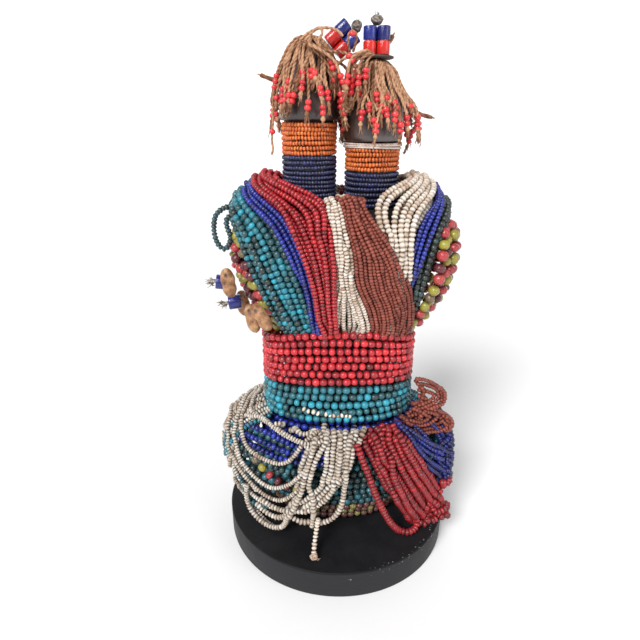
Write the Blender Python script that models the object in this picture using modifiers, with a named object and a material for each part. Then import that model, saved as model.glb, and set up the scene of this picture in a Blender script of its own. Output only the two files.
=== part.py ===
"""A two-headed beaded namji doll on a round stand: one carved figure with two necks and two heads,
cord hair, crown beads, neck rings, shoulder and chest strands, a waist belt, hip wraps and skirt loops.
Metres, +Z up, the front faces -Y, and the origin is the centre of the stand's underside."""

import math

import bmesh
import bpy
from mathutils import Matrix, Vector

MM = 0.001

# The stand
BASE_RADIUS = 70.0 * MM
BASE_THICKNESS = 17.5 * MM
BASE_EDGE = 0.9 * MM

# Gaps between pieces
TOUCH = 0.3 * MM
BUNDLE_GAP = 1.3 * MM

# The carved figure, with heights from the stand's top face
TRUNK_HEIGHT = 190.0 * MM
TRUNK_HALF_WIDTH = 52.0 * MM
TRUNK_HALF_DEPTH = 26.5 * MM
LEG_RADIUS = 12.0 * MM
HEAD_RADIUS = 15.2 * MM
HEAD_HEIGHT = 35.0 * MM
HEAD_GAP = 2.6 * MM
NECK_INSET = 2.8 * MM
LEFT_NECK_LENGTH = 42.3 * MM
RIGHT_NECK_LENGTH = 32.2 * MM
NECK_RADIUS = HEAD_RADIUS - NECK_INSET
NECK_SPACING = 2 * HEAD_RADIUS + HEAD_GAP
HEADS = (("left", -1, TRUNK_HEIGHT + LEFT_NECK_LENGTH), ("right", 1, TRUNK_HEIGHT + RIGHT_NECK_LENGTH))

# Neck rings
SEED_PITCH = 2.1 * MM
SEED_ROW = 2.25 * MM
ORANGE_ROWS = {"left": 7, "right": 6}

# Cord hair and crowns
HAIR_THICKNESS = 3.2 * MM
HAIR_DROP = 0.81 * (HEAD_HEIGHT + HAIR_THICKNESS)
HAIR_FLARE = {"left": 5.3 * MM, "right": 10.8 * MM}
HAIR_RIDGE = 0.035
CROWN_BEAD_RADIUS = 3.2 * MM
CROWN_BEAD_HEIGHT = 6.1 * MM
CROWN_RING = (CROWN_BEAD_RADIUS + TOUCH / 2) / math.sin(math.radians(60))
CROWN_LEAN = math.radians(50)
PLATE_MARGIN = 1.9 * MM
PLATE_THICKNESS = 1.2 * MM
KNOT_RADIUS = 3.4 * MM
KNOT_SQUASH = 0.75

# Waist belt
BELT_ROWS = (("red_belt", "red", 7), ("teal_belt", "teal", 5))
BELT_TOP = 0.642 * TRUNK_HEIGHT
BELT_PITCH = 4.3 * MM
BELT_DIP = 4.5 * MM
BELT_DEPTH = 8.0 * MM
BELT_CLEARANCE = 2.0 * MM
BELT_HALF_WIDTH = 0.685 * TRUNK_HALF_WIDTH + BELT_CLEARANCE + BELT_DEPTH
BELT_HALF_DEPTH = 0.70 * TRUNK_HALF_DEPTH + BELT_CLEARANCE + BELT_DEPTH
BELT_FOOT = BELT_TOP - sum(rows for _, _, rows in BELT_ROWS) * BELT_PITCH - 2 * TOUCH

# Hip wraps
WRAP_ROWS = (("blue_hip_wrap", "blue", 3), ("teal_hip_wrap", "teal", 5), ("mixed_hip_wrap", "mixed", 2))
HIP_SWELL = 4.4 * MM
HIP_DEPTH = 8.0 * MM
HIP_FOOT = 3.1 * MM
HIP_TOP = BELT_FOOT - 2 * TOUCH
HIP_HALF_WIDTH = BELT_HALF_WIDTH + HIP_SWELL
HIP_HALF_DEPTH = BELT_HALF_DEPTH + 1.8 * HIP_SWELL

# Loops of strands below the belt
SKIRT_LAYER = 3.4 * MM
SKIRT_REACH = 19.5 * MM
SKIRT_TOP = BELT_FOOT - 1.1 * MM
SKIRT_HALF_WIDTH = HIP_HALF_WIDTH + SKIRT_REACH
SKIRT_HALF_DEPTH = HIP_HALF_DEPTH + 0.49 * SKIRT_REACH
SIDE_LOOPS_DEPTH = 8.5 * MM
SIDE_LOOPS_HEIGHT = 11.0 * MM
SIDE_LOOPS_REACH = BELT_CLEARANCE + SIDE_LOOPS_DEPTH + 2.5 * MM
STRAND_RADIUS = 1.5 * MM
TAIL_PLACE = -12.0 * MM
TAIL_CURL = 2.5 * MM
TAIL_LENGTH = 9.5 * MM

# Strands over the shoulders and chest, whose outside is the jacket
STRAND_LAYER = 7.6 * MM
CREST_LAYER = 6.0 * MM
STRAND_COVER = STRAND_LAYER + 2.9 * MM
SHOULDER_RISE = 18.5 * MM
JACKET_FOOT = BELT_TOP + BUNDLE_GAP + TOUCH
JACKET_TOP = TRUNK_HEIGHT + SHOULDER_RISE
SHOULDER_HALF_WIDTH = TRUNK_HALF_WIDTH + STRAND_COVER
CHEST_HALF_DEPTH = TRUNK_HALF_DEPTH + STRAND_COVER
LOOP_CLEARANCE = 0.9 * MM
LOOP_SLACK = 4.5 * MM

# Beads, pods and tube beads at the sides
SIDE_SWELL = 1.5 * MM
SIDE_BULGE = 7.0 * MM
POD_BED = STRAND_LAYER - 2.6 * MM
POD_LENGTH = 17.0 * MM
POD_RADIUS = 4.2 * MM
POD_CLEARANCE = 2.1 * MM
TUBE_BEAD_RADIUS = 4.0 * MM
TUBE_BEAD_LENGTH = 7.0 * MM

# Sides of the round and oval pieces
RING_SIDES = 10
BELT_SIDES = 16
WRAP_SIDES = 12
HAIR_SIDES = 16
SECTION_POWER = 2.2

# Height, half width and half depth of the wooden trunk, as shares of its three sizes
TRUNK = (
    (0.205, 0.56, 0.64),
    (0.326, 0.60, 0.69),
    (0.442, 0.61, 0.71),
    (0.547, 0.62, 0.71),
    (0.653, 0.67, 0.72),
    (0.732, 0.83, 0.81),
    (0.811, 0.94, 0.94),
    (0.889, 1.00, 1.00),
    (0.947, 0.97, 0.92),
    (0.984, 0.88, 0.68),
    (1.000, 0.69, 0.45),
)
# The same for the jacket, with its height from its own foot
JACKET = (
    (0.00, 0.70, 0.74),
    (0.19, 0.85, 0.84),
    (0.37, 0.95, 0.95),
    (0.55, 1.00, 1.00),
    (0.69, 0.99, 0.96),
    (0.80, 0.94, 0.84),
    (0.90, 0.84, 0.66),
    (0.97, 0.71, 0.46),
    (1.00, 0.56, 0.25),
)
# Radius and height of a head's outline, as shares of its radius and height, from the crown down
HEAD = (
    (0.00, 1.00),
    (0.32, 0.98),
    (0.60, 0.90),
    (0.80, 0.74),
    (0.94, 0.48),
    (1.00, 0.22),
    (1.00, 0.08),
    (0.95, 0.02),
)
# Half width and half depth of the hip wraps, as shares of their own sizes, from the foot up
HIPS = (
    (0.80, 0.83),
    (0.95, 0.97),
    (1.00, 1.00),
    (0.97, 0.93),
    (0.90, 0.79),
)
# Height, half width and half depth of the skirt, as shares of its own sizes
SKIRT = (
    (1.00, 0.71, 0.70),
    (0.92, 0.87, 0.80),
    (0.70, 1.00, 0.90),
    (0.42, 1.00, 0.96),
    (0.16, 0.93, 1.00),
    (0.03, 0.88, 1.00),
)

# Edges of the strand bundles: angle from the front in degrees, and climb from the belt to the shoulder's crest
RED_INNER = ((-4, 0), (-3, 0.24), (-6, 0.48), (-15, 0.74), (-90, 0.985))
RED_OUTER = ((-10, 0), (-13, 0.20), (-19, 0.42), (-36, 0.66), (-90, 0.87))
BLUE_OUTER = ((-13, 0), (-17, 0.22), (-25, 0.41), (-42, 0.59), (-90, 0.77))
TEAL_OUTER = ((-46, 0), (-48, 0.16), (-54, 0.34), (-67, 0.50), (-90, 0.62))
WHITE_INNER = ((46, 0), (33, 0.25), (19, 0.47), (18, 0.72), (90, 0.985))
WHITE_OUTER = ((50, 0), (37, 0.20), (35, 0.38), (47, 0.60), (90, 0.80))
ROYAL_OUTER = ((53, 0), (43, 0.18), (40, 0.37), (54, 0.57), (90, 0.73))
GREEN_OUTER = ((62, 0), (51, 0.19), (50, 0.38), (62, 0.55), (90, 0.64))
CENTRE_LEFT = ((-4, 0), (-3, 0.23), (-2, 0.45), (-2, 0.62), (-1.8, 0.76))
CENTRE_RIGHT = ((19, 0), (6, 0.23), (2, 0.43), (1.5, 0.60), (1.8, 0.76))
BROWN_OUTER = ((45, 0), (31, 0.24), (17, 0.45), (8, 0.60), (4, 0.74))

# Side, angle, climb and tilt of each seed pod
PODS = (
    ("left", -62, 0.25, -6),
    ("left", -64, 0.08, 8),
    ("left", -95, 0.10, -8),
    ("left", -50, 0.09, 24),
    ("right", 106, 0.36, 15),
    ("right", 104, 0.14, -20),
)
# Angle, climb and tilt of each tube bead
TUBE_BEADS = ((-78, 0.23, 80), (-77, 0.14, 80))
# Name, tint, first and last angle, reach down the skirt and ridges of each group of loops
LOOPS = (
    ("white_skirt_loops", "white", -176, -8, 0.92, 8),
    ("red_skirt_loops", "red", 16, 54, 1.00, 4),
    ("blue_skirt_loops", "blue", 54, 94, 0.90, 3),
    ("back_skirt_loops", "mixed", 94, 184, 0.92, 5),
)

doll = bpy.data.collections.new("namji_doll")
joined = bpy.data.collections.new("joined_to_the_figure")


def clear_scene():
    for thing in list(bpy.data.objects):
        bpy.data.objects.remove(thing)
    for group in (doll, joined):
        bpy.context.scene.collection.children.link(group)


def finish(name, colour, roughness):
    material = bpy.data.materials.new(name)
    material.use_nodes = True
    shader = material.node_tree.nodes["Principled BSDF"]
    shader.inputs["Base Color"].default_value = (*colour, 1.0)
    shader.inputs["Roughness"].default_value = roughness
    shader.inputs["Metallic"].default_value = 0.0
    material.diffuse_color = (*colour, 1.0)
    return material


def add_object(name, data, material, group=doll):
    thing = bpy.data.objects.new(name, data)
    group.objects.link(thing)
    if material:
        data.materials.append(material)
    return thing


def catmull_rom(stations, share):
    """A smooth value through evenly numbered stations, at share 0 to 1 of the way."""
    last = len(stations) - 1
    place = min(max(share, 0.0), 1.0) * last
    index = min(int(place), last - 1)
    f = place - index
    p0, p1 = stations[max(index - 1, 0)], stations[index]
    p2, p3 = stations[index + 1], stations[min(index + 2, last)]
    return [
        0.5 * (2 * b + (c - a) * f + (2 * a - 5 * b + 4 * c - d) * f * f + (3 * b - a - 3 * c + d) * f**3)
        for a, b, c, d in zip(p0, p1, p2, p3)
    ]


def smooth_step(value):
    value = min(max(value, 0.0), 1.0)
    return value * value * (3 - 2 * value)


def oval(angle, half_width, half_depth, power=SECTION_POWER):
    """A point of a squarish oval: angle 0 is the front, and a positive angle turns to +X."""
    s, c = math.sin(angle), math.cos(angle)
    x = half_width * math.copysign(abs(s) ** (2 / power), s)
    y = -half_depth * math.copysign(abs(c) ** (2 / power), c)
    return x, y


def trunk_point(angle, rise):
    """A point of the wooden trunk: rise runs from 0 at its foot to 1 at the shoulders."""
    height, width, depth = catmull_rom(TRUNK, rise)
    x, y = oval(angle, width * TRUNK_HALF_WIDTH, depth * TRUNK_HALF_DEPTH)
    return Vector((x, y, BASE_THICKNESS + height * TRUNK_HEIGHT))


def dip(angle):
    """How far the belt's top line rises at the front and back and sinks at the sides."""
    return BELT_DIP * math.cos(2 * angle)


def jacket_point(angle, climb):
    """A point on the outside of the strands: climb runs from 0 at the belt to 1 at the necks."""
    height, width, depth = catmull_rom(JACKET, climb)
    x, y = oval(angle, width * SHOULDER_HALF_WIDTH, depth * CHEST_HALF_DEPTH)
    level = JACKET_FOOT + height * (JACKET_TOP - JACKET_FOOT) + dip(angle) * (1 - smooth_step(climb / 0.4))
    return Vector((x, y, BASE_THICKNESS + level))


def chest_point(angle, climb, sink):
    """The same point sunk into the strands: level at the belt, square to the surface further up."""
    step = 0.004
    inner = min(max(climb, step), 1 - step)
    around = jacket_point(angle + step, climb) - jacket_point(angle - step, climb)
    upward = jacket_point(angle, inner + step) - jacket_point(angle, inner - step)
    normal = around.cross(upward).normalized()
    level = Vector((normal.x, normal.y, 0.0)).normalized()
    inward = level.lerp(normal, smooth_step(climb / 0.4)).normalized() * -1
    return jacket_point(angle, climb) + inward * sink


def strand_depth(climb):
    return STRAND_LAYER + (CREST_LAYER - STRAND_LAYER) * smooth_step((climb - 0.6) / 0.4)


def loft(name, sections, material, closed=False):
    """One closed solid through sections of equally many points, capped at its ends or closed on itself."""
    shape = bmesh.new()
    rings = [[shape.verts.new(point) for point in section] for section in sections]
    count = len(rings[0])
    for index in range(len(rings) if closed else len(rings) - 1):
        ring, after = rings[index], rings[(index + 1) % len(rings)]
        for k in range(count):
            shape.faces.new((ring[k], ring[(k + 1) % count], after[(k + 1) % count], after[k]))
    if not closed:
        shape.faces.new(rings[0][::-1])
        shape.faces.new(rings[-1])
    bmesh.ops.recalc_face_normals(shape, faces=shape.faces)
    mesh = bpy.data.meshes.new(name)
    shape.to_mesh(mesh)
    shape.free()
    mesh.shade_smooth()
    mesh.set_sharp_from_angle(angle=math.radians(50))
    return add_object(name, mesh, material)


def turned(name, profile, steps, material, place=(0, 0, 0), ring=False, group=doll):
    """A profile of radii and heights, top to bottom down its outer side, turned about the piece's own axis."""
    mesh = bpy.data.meshes.new(name)
    ends = [(k, k + 1) for k in range(len(profile) - 1)]
    if ring:
        ends.append((len(profile) - 1, 0))
    mesh.from_pydata([(radius, 0.0, height) for radius, height in profile], ends, [])
    thing = add_object(name, mesh, material, group)
    thing.location = place
    screw = thing.modifiers.new("turn", "SCREW")
    screw.steps = screw.render_steps = steps
    screw.use_merge_vertices = True
    screw.merge_threshold = 0.00005
    screw.use_smooth_shade = True
    return thing


def as_mesh(thing):
    """The object's evaluated shape as a plain mesh object, with the same name and place."""
    bpy.context.view_layer.update()
    graph = bpy.context.evaluated_depsgraph_get()
    mesh = bpy.data.meshes.new_from_object(thing.evaluated_get(graph))
    shape = bmesh.new()
    shape.from_mesh(mesh)
    bmesh.ops.remove_doubles(shape, verts=shape.verts, dist=0.00001)
    shape.to_mesh(mesh)
    shape.free()
    name, group, matrix = thing.name, thing.users_collection[0], thing.matrix_world.copy()
    bpy.data.objects.remove(thing)
    solid = bpy.data.objects.new(name, mesh)
    group.objects.link(solid)
    solid.matrix_world = matrix
    return solid


def join_in(thing, other):
    """Adds the other solid to this one with a Boolean union."""
    other.hide_render = True
    other.display_type = "WIRE"
    union = thing.modifiers.new("join " + other.name, "BOOLEAN")
    union.operation = "UNION"
    union.object = other


def cylinder(name, radius, length, matrix, material, sides):
    shape = bmesh.new()
    bmesh.ops.create_cone(shape, cap_ends=True, segments=sides, radius1=radius, radius2=radius, depth=length)
    mesh = bpy.data.meshes.new(name)
    shape.to_mesh(mesh)
    shape.free()
    thing = add_object(name, mesh, material)
    thing.matrix_world = matrix
    return thing


def strand(name, path, material):
    """One loose strand along a path of points."""
    curve = bpy.data.curves.new(name, "CURVE")
    curve.dimensions = "3D"
    curve.bevel_depth = STRAND_RADIUS
    curve.bevel_resolution = 1
    curve.use_fill_caps = True
    spline = curve.splines.new("POLY")
    spline.points.add(len(path) - 1)
    for point, place in zip(spline.points, path):
        point.co = (*place, 1.0)
    return add_object(name, curve, material)


def build_base(paint):
    place = Matrix.Translation((0, 0, BASE_THICKNESS / 2))
    disc = cylinder("base_disc", BASE_RADIUS, BASE_THICKNESS, place, paint, 40)
    edge = disc.modifiers.new("edge", "BEVEL")
    edge.width = BASE_EDGE
    edge.segments = 1
    edge.limit_method = "ANGLE"


def head_profile(rim, spread=0.0):
    """A head's outline from its crown down to its rim, grown by spread."""
    return [
        (share * HEAD_RADIUS + (spread if share else 0.0), rim + height * HEAD_HEIGHT + spread * (height > 0.5))
        for share, height in HEAD
    ]


def build_figure(wood):
    """The carved wood: legs, trunk, two necks and two heads, cut from one block."""
    last = len(TRUNK) - 1
    sections = [[trunk_point(math.radians(22.5 * k), row / last) for k in range(16)] for row in range(last + 1)]
    trunk = loft("carved_figure", sections, wood)
    leg_top = 0.26 * TRUNK_HEIGHT
    neck_foot = 0.93 * TRUNK_HEIGHT
    for name, side, rim in HEADS:
        place = (side * NECK_SPACING / 2, 0, BASE_THICKNESS)
        leg = [(0, leg_top), (LEG_RADIUS, leg_top), (LEG_RADIUS, TOUCH), (0, TOUCH)]
        inside = rim + 0.5 * HEAD_HEIGHT
        neck = [(0, inside), (NECK_RADIUS, inside), (NECK_RADIUS, neck_foot), (0, neck_foot)]
        head = head_profile(rim)
        head.append((0, head[-1][1]))
        for word, profile, sides in (("leg", leg, 8), ("neck", neck, RING_SIDES), ("head", head, 12)):
            join_in(trunk, as_mesh(turned(f"{name}_{word}", profile, sides, None, place, group=joined)))


def ring_profile(rows, top, foot):
    """A stack of bead rows on a neck: a crest for each row with a shallow groove between rows."""
    inner = NECK_RADIUS + TOUCH
    outer = NECK_RADIUS + SEED_PITCH
    pitch = (top - foot) / rows
    groove = outer - 0.28 * pitch
    points = [(inner, top - 0.15 * pitch), (groove, top - 0.05 * pitch)]
    for row in range(rows):
        points.append((outer, top - (row + 0.5) * pitch))
        if row < rows - 1:
            points.append((groove, top - (row + 1) * pitch))
    return points + [(groove, foot + 0.05 * pitch), (inner, foot + 0.15 * pitch)]


def build_neck_rings(orange, navy):
    """Rows of small seed beads wound on each neck, orange above navy, down to the shoulder wood."""
    foot = TRUNK_HEIGHT + TOUCH
    for name, side, rim in HEADS:
        place = (side * NECK_SPACING / 2, 0, BASE_THICKNESS)
        change = rim - TOUCH - ORANGE_ROWS[name] * SEED_ROW
        navy_rows = max(1, round((change - TOUCH - foot) / SEED_ROW))
        orange_rings = ring_profile(ORANGE_ROWS[name], rim - TOUCH, change)
        navy_rings = ring_profile(navy_rows, change - TOUCH, foot)
        turned(name + "_neck_orange_beads", orange_rings, RING_SIDES, orange, place, ring=True)
        turned(name + "_neck_navy_beads", navy_rings, RING_SIDES, navy, place, ring=True)


def build_hair(cord):
    """A fringe of twisted cords on each head: a ridged bell with a ragged hem, flat where the two meet."""
    wall = NECK_SPACING / 2 - TOUCH / 2
    for name, side, rim in HEADS:
        flare = HAIR_FLARE[name]
        radius = HEAD_RADIUS + flare
        top = rim + HEAD_HEIGHT
        hem = top + HAIR_THICKNESS - HAIR_DROP
        crown = [
            (0.0, top + HAIR_THICKNESS),
            (0.40 * HEAD_RADIUS, top + 0.8 * HAIR_THICKNESS),
            (0.70 * HEAD_RADIUS, top - 0.05 * HAIR_DROP),
            (0.98 * HEAD_RADIUS, top - 0.30 * HAIR_DROP),
        ]
        fringe = [
            (radius - 0.3 * flare, top - 0.62 * HAIR_DROP),
            (radius, hem + 0.6 * MM),
            (radius - 0.4 * flare, hem),
        ]
        seat = [(r, z) for r, z in head_profile(rim, 2 * TOUCH) if z > hem + 2 * MM]
        bell = as_mesh(turned(name + "_hair_cords", crown + fringe + seat[::-1], HAIR_SIDES, cord))
        for vert in bell.data.vertices:
            reach = math.hypot(vert.co.x, vert.co.y)
            crest = round(math.atan2(vert.co.y, vert.co.x) / (2 * math.pi) * HAIR_SIDES) % 2
            if any(math.hypot(reach - r, vert.co.z - z) < 0.01 * MM for r, z in fringe):
                grown = 1 + HAIR_RIDGE if crest else 1 - HAIR_RIDGE
                vert.co.x *= grown
                vert.co.y *= grown
                if crest and vert.co.z < hem + 1 * MM:
                    vert.co.z -= HAIR_THICKNESS / 2
            vert.co.x = min(vert.co.x, wall) if side < 0 else max(vert.co.x, -wall)
        bell.location = (side * NECK_SPACING / 2, 0, BASE_THICKNESS)


def build_crown(name, frame, colours):
    """Three stacks of a blue bead on a red one with a knotted cord end above, in the crown's own frame."""
    for k, angle in enumerate((210, 330, 90), 1):
        x, y = CROWN_RING * math.cos(math.radians(angle)), CROWN_RING * math.sin(math.radians(angle))
        for level, tint in enumerate(("red", "blue")):
            height = TOUCH + CROWN_BEAD_HEIGHT / 2 + level * (CROWN_BEAD_HEIGHT + TOUCH)
            matrix = frame @ Matrix.Translation((x, y, height))
            bead = f"{name}_crown_{tint}_bead_{k}"
            cylinder(bead, CROWN_BEAD_RADIUS, CROWN_BEAD_HEIGHT, matrix, colours[tint], 8)
    shape = bmesh.new()
    bmesh.ops.create_uvsphere(shape, u_segments=8, v_segments=6, radius=KNOT_RADIUS)
    mesh = bpy.data.meshes.new(name + "_crown_knot")
    shape.to_mesh(mesh)
    shape.free()
    knot = add_object(name + "_crown_knot", mesh, colours["cord"])
    height = 2 * CROWN_BEAD_HEIGHT + 3 * TOUCH + KNOT_SQUASH * KNOT_RADIUS
    knot.matrix_world = frame @ Matrix.Translation((0, 0, height)) @ Matrix.Diagonal((1, 1, KNOT_SQUASH, 1))


def build_crowns(colours):
    """An upright crown on a hide plate on the right head, and one that leans between the heads on the left."""
    (_, _, left_rim), (_, _, right_rim) = HEADS
    foot = BASE_THICKNESS + right_rim + HEAD_HEIGHT + HAIR_THICKNESS + TOUCH
    plate = Matrix.Translation((NECK_SPACING / 2, 0, foot + PLATE_THICKNESS / 2))
    radius = CROWN_RING + CROWN_BEAD_RADIUS + PLATE_MARGIN
    cylinder("right_crown_plate", radius, PLATE_THICKNESS, plate, colours["hide"], 20)
    build_crown("right", Matrix.Translation((NECK_SPACING / 2, 0, foot + PLATE_THICKNESS)), colours)
    x = -NECK_SPACING / 2 + 0.743 * HEAD_RADIUS
    z = BASE_THICKNESS + left_rim + HEAD_HEIGHT - 0.75 * HAIR_THICKNESS
    build_crown("left", Matrix.Translation((x, 0, z)) @ Matrix.Rotation(CROWN_LEAN, 4, "Y"), colours)


def edge_line(stations, steps):
    """Angle and climb along a bundle's edge, from the belt up."""
    return [tuple(catmull_rom(stations, k / steps)) for k in range(steps + 1)]


def behind(edge):
    """The mirror image of a front edge line, on the back."""
    return [(math.copysign(180, angle) - angle, climb) for angle, climb in edge]


def over_shoulder(edge):
    """Carries a front edge line over the crest and down the back along its mirror image."""
    return edge + behind(edge[:-1])[::-1]


def patch(name, edge_a, edge_b, ridges, material, point, top, bottom):
    """A layer of strands between two edge lines, from sink top to sink bottom: ridged outside, plain inside."""
    sections = []
    for (angle_a, climb_a), (angle_b, climb_b) in zip(edge_a, edge_b):
        corner_a = point(math.radians(angle_a), climb_a, top)
        corner_b = point(math.radians(angle_b), climb_b, top)
        inset = min(0.4, BUNDLE_GAP / 2 / max((corner_a - corner_b).length, 0.1 * MM))
        outer, inner = [], []
        for k in range(2 * ridges + 1):
            share = inset + (1 - 2 * inset) * k / (2 * ridges)
            angle = math.radians(angle_a + (angle_b - angle_a) * share)
            climb = climb_a + (climb_b - climb_a) * share
            base = bottom(climb)
            fall = 0.35 * abs(2 * share - 1) ** 4 + (0 if k % 2 else 0.13)
            outer.append(point(angle, climb, top + (base - top) * fall))
            if k % 2 == 0:
                inner.append(point(angle, climb, base))
        sections.append(outer + inner[::-1])
    return loft(name, sections, material)


def build_shoulder_strands(colours):
    """Strands that hang from the belt's front over a shoulder to the belt's back."""
    for name, tint, ridges, inner, outer in (
        ("red_shoulder_strands", "red", 4, RED_INNER, RED_OUTER),
        ("blue_left_strands", "blue", 2, RED_OUTER, BLUE_OUTER),
        ("teal_shoulder_strands", "teal", 4, BLUE_OUTER, TEAL_OUTER),
        ("white_shoulder_strands", "white", 4, WHITE_INNER, WHITE_OUTER),
        ("blue_right_strands", "blue", 1, WHITE_OUTER, ROYAL_OUTER),
        ("green_shoulder_strands", "green", 2, ROYAL_OUTER, GREEN_OUTER),
    ):
        edge_a, edge_b = over_shoulder(edge_line(inner, 6)), over_shoulder(edge_line(outer, 6))
        patch(name, edge_a, edge_b, ridges, colours[tint], chest_point, 0.0, strand_depth)


def build_chest_strands(colours):
    """Strands from between the necks down the middle: white ones, and terracotta ones fanned to one side."""
    for place, turn in (("front", list), ("back", behind)):
        lines = [turn(edge_line(line, 5)) for line in (CENTRE_LEFT, CENTRE_RIGHT, BROWN_OUTER)]
        if place == "back":
            lines[0] = [(angle % 360, climb) for angle, climb in lines[0]]
        for k, tint, ridges in ((0, "white", 2), (1, "terracotta", 4)):
            name = f"{tint}_{place}_strands"
            patch(name, lines[k], lines[k + 1], ridges, colours[tint], chest_point, 0.0, strand_depth)


def side_point(angle, climb, sink):
    """A point of the side beads, which bulge from the strands halfway between belt and shoulder."""
    bulge = SIDE_BULGE * math.sin(2 * math.pi * min(max(climb, 0.0), 0.5))
    return chest_point(angle, climb, sink - bulge)


def build_sides(colours):
    """Mixed beads below each shoulder, with seed pods and tube beads hung on them."""
    for name, line, first, last, sink in (
        ("left", TEAL_OUTER, 1, 12, POD_BED),
        ("right", GREEN_OUTER, 1, 7, -SIDE_SWELL),
        ("right_back", GREEN_OUTER, 6, 12, POD_BED),
    ):
        upper = over_shoulder(edge_line(line, 6))[first:last]
        front = abs(line[0][0]) + 3
        lower = [(math.copysign(min(max(abs(angle), front), 180 - front), angle), 0.0) for angle, _ in upper]
        patch(f"mixed_beads_{name}", upper, lower, 2, colours["mixed"], side_point, sink, strand_depth)
    turns = [math.pi * k / 6 for k in range(7)]
    outline = [(POD_RADIUS * math.sin(turn) ** 0.75, POD_LENGTH / 2 * math.cos(turn)) for turn in turns]
    for k, (side, angle, climb, tilt) in enumerate(PODS, 1):
        pod = turned(f"seed_pod_{k}_{side}", outline, 8, colours["pod"])
        pod.matrix_world = on_side(angle, climb, POD_RADIUS, tilt)
    for k, (angle, climb, tilt) in enumerate(TUBE_BEADS, 1):
        place = on_side(angle, climb, TUBE_BEAD_RADIUS, tilt)
        cylinder(f"blue_tube_bead_{k}", TUBE_BEAD_RADIUS, TUBE_BEAD_LENGTH, place, colours["blue"], 8)


def on_side(angle, climb, radius, tilt):
    """A frame lying on the mixed beads, with Z along their surface, tilted in degrees, and Y away from it."""
    angle = math.radians(angle)
    foot = side_point(angle, climb, POD_BED)
    outward = (side_point(angle, climb, 0.0) - foot).normalized()
    upward = side_point(angle, climb + 0.03, POD_BED) - foot
    upward = (upward - outward * upward.dot(outward)).normalized()
    turn = Matrix((outward.cross(upward), outward, upward)).transposed().to_4x4()
    place = Matrix.Translation(foot + outward * (radius + POD_CLEARANCE))
    return place @ turn @ Matrix.Rotation(math.radians(tilt), 4, "Y")


def build_arm_loop(colours):
    """One slack strand that hangs off the left shoulder."""
    path = []
    for k in range(9):
        share = k / 8
        lift = STRAND_RADIUS + LOOP_CLEARANCE + LOOP_SLACK * math.sin(0.8 * math.pi * share)
        path.append(chest_point(math.radians(-78), 0.68 - 0.28 * share, -lift))
    strand("left_arm_loop", path, colours["green"])


def band(name, rows, top, pitch, material, size, depth, sides, rise=None):
    """Rows of beads wound round the body: a crest for each row outside and a plain wall inside.
    size gives the outer half width and half depth at a height, and a rise lifts a row at an angle."""
    outline = [(top - row * pitch / 2, 0.0 if row % 2 else 0.26 * pitch) for row in range(2 * rows + 1)]
    outline += [(top - rows * pitch * share, depth) for share in (1, 0.5, 0)]
    sections = []
    for k in range(sides):
        angle = 2 * math.pi * k / sides
        section = []
        for height, back in outline:
            width, across = size(height)
            x, y = oval(angle, width - back, across - back)
            lift = rise(angle, height) if rise else 0.0
            section.append(Vector((x, y, BASE_THICKNESS + height + lift)))
        sections.append(section)
    return loft(name, sections, material, closed=True)


def build_belt(colours):
    """The waist belt: red rows over teal rows."""
    def size(height):
        return BELT_HALF_WIDTH, BELT_HALF_DEPTH

    def rise(angle, height):
        return dip(angle) * (height - BELT_FOOT) / (BELT_TOP - BELT_FOOT)

    top = BELT_TOP
    for name, tint, rows in BELT_ROWS:
        band(name, rows, top, BELT_PITCH, colours[tint], size, BELT_DEPTH, BELT_SIDES, rise)
        top -= rows * BELT_PITCH + 2 * TOUCH


def build_wraps(colours):
    """Strands wound round the hips under the belt: blue, teal and mixed rows down to the stand."""
    def size(height):
        width, across = catmull_rom(HIPS, height / HIP_TOP)
        return width * HIP_HALF_WIDTH, across * HIP_HALF_DEPTH

    gaps = 2 * TOUCH * (len(WRAP_ROWS) - 1)
    pitch = (HIP_TOP - HIP_FOOT - gaps) / sum(rows for _, _, rows in WRAP_ROWS)
    top = HIP_TOP
    for name, tint, rows in WRAP_ROWS:
        band(name, rows, top, pitch, colours[tint], size, HIP_DEPTH, WRAP_SIDES)
        top -= rows * pitch + 2 * TOUCH


def skirt_point(angle, fall, sink):
    """A point of the loops under the belt: fall runs from 0 under the belt to 1 at the hem."""
    height, width, depth = catmull_rom(SKIRT, fall)
    x, y = oval(angle, width * SKIRT_HALF_WIDTH - sink, depth * SKIRT_HALF_DEPTH - sink, 2.0)
    return Vector((x, y, BASE_THICKNESS + height * SKIRT_TOP))


def build_skirt(colours):
    """Loops of strands that hang from under the belt and stand out round the hips."""
    def depth(fall):
        return SKIRT_LAYER / 2

    for name, tint, start, end, reach, ridges in LOOPS:
        edge_a = [(start, reach * k / 6) for k in range(7)]
        edge_b = [(end, reach * k / 6) for k in range(7)]
        patch(name, edge_a, edge_b, ridges, colours[tint], skirt_point, -SKIRT_LAYER / 2, depth)


def build_side_loops(colours):
    """A bunch of loops that sticks out at the right of the belt's foot."""
    centre = BASE_THICKNESS + SKIRT_TOP + 1.1 * SIDE_LOOPS_HEIGHT
    sections = []
    for k in range(8):
        share = k / 7
        swell = 0.35 + 0.65 * math.sin(math.pi * share)
        section = []
        for n in range(10):
            turn = 2 * math.pi * n / 10
            size = swell * (1 if n % 2 else 0.85)
            out = SIDE_LOOPS_REACH + SIDE_LOOPS_DEPTH * size * math.cos(turn)
            x, y = oval(math.radians(50 + 62 * share), BELT_HALF_WIDTH + out, BELT_HALF_DEPTH + out, 2.0)
            section.append(Vector((x, y, centre + SIDE_LOOPS_HEIGHT * size * math.sin(turn))))
        sections.append(section)
    loft("terracotta_side_loops", sections, colours["terracotta"])


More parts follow.
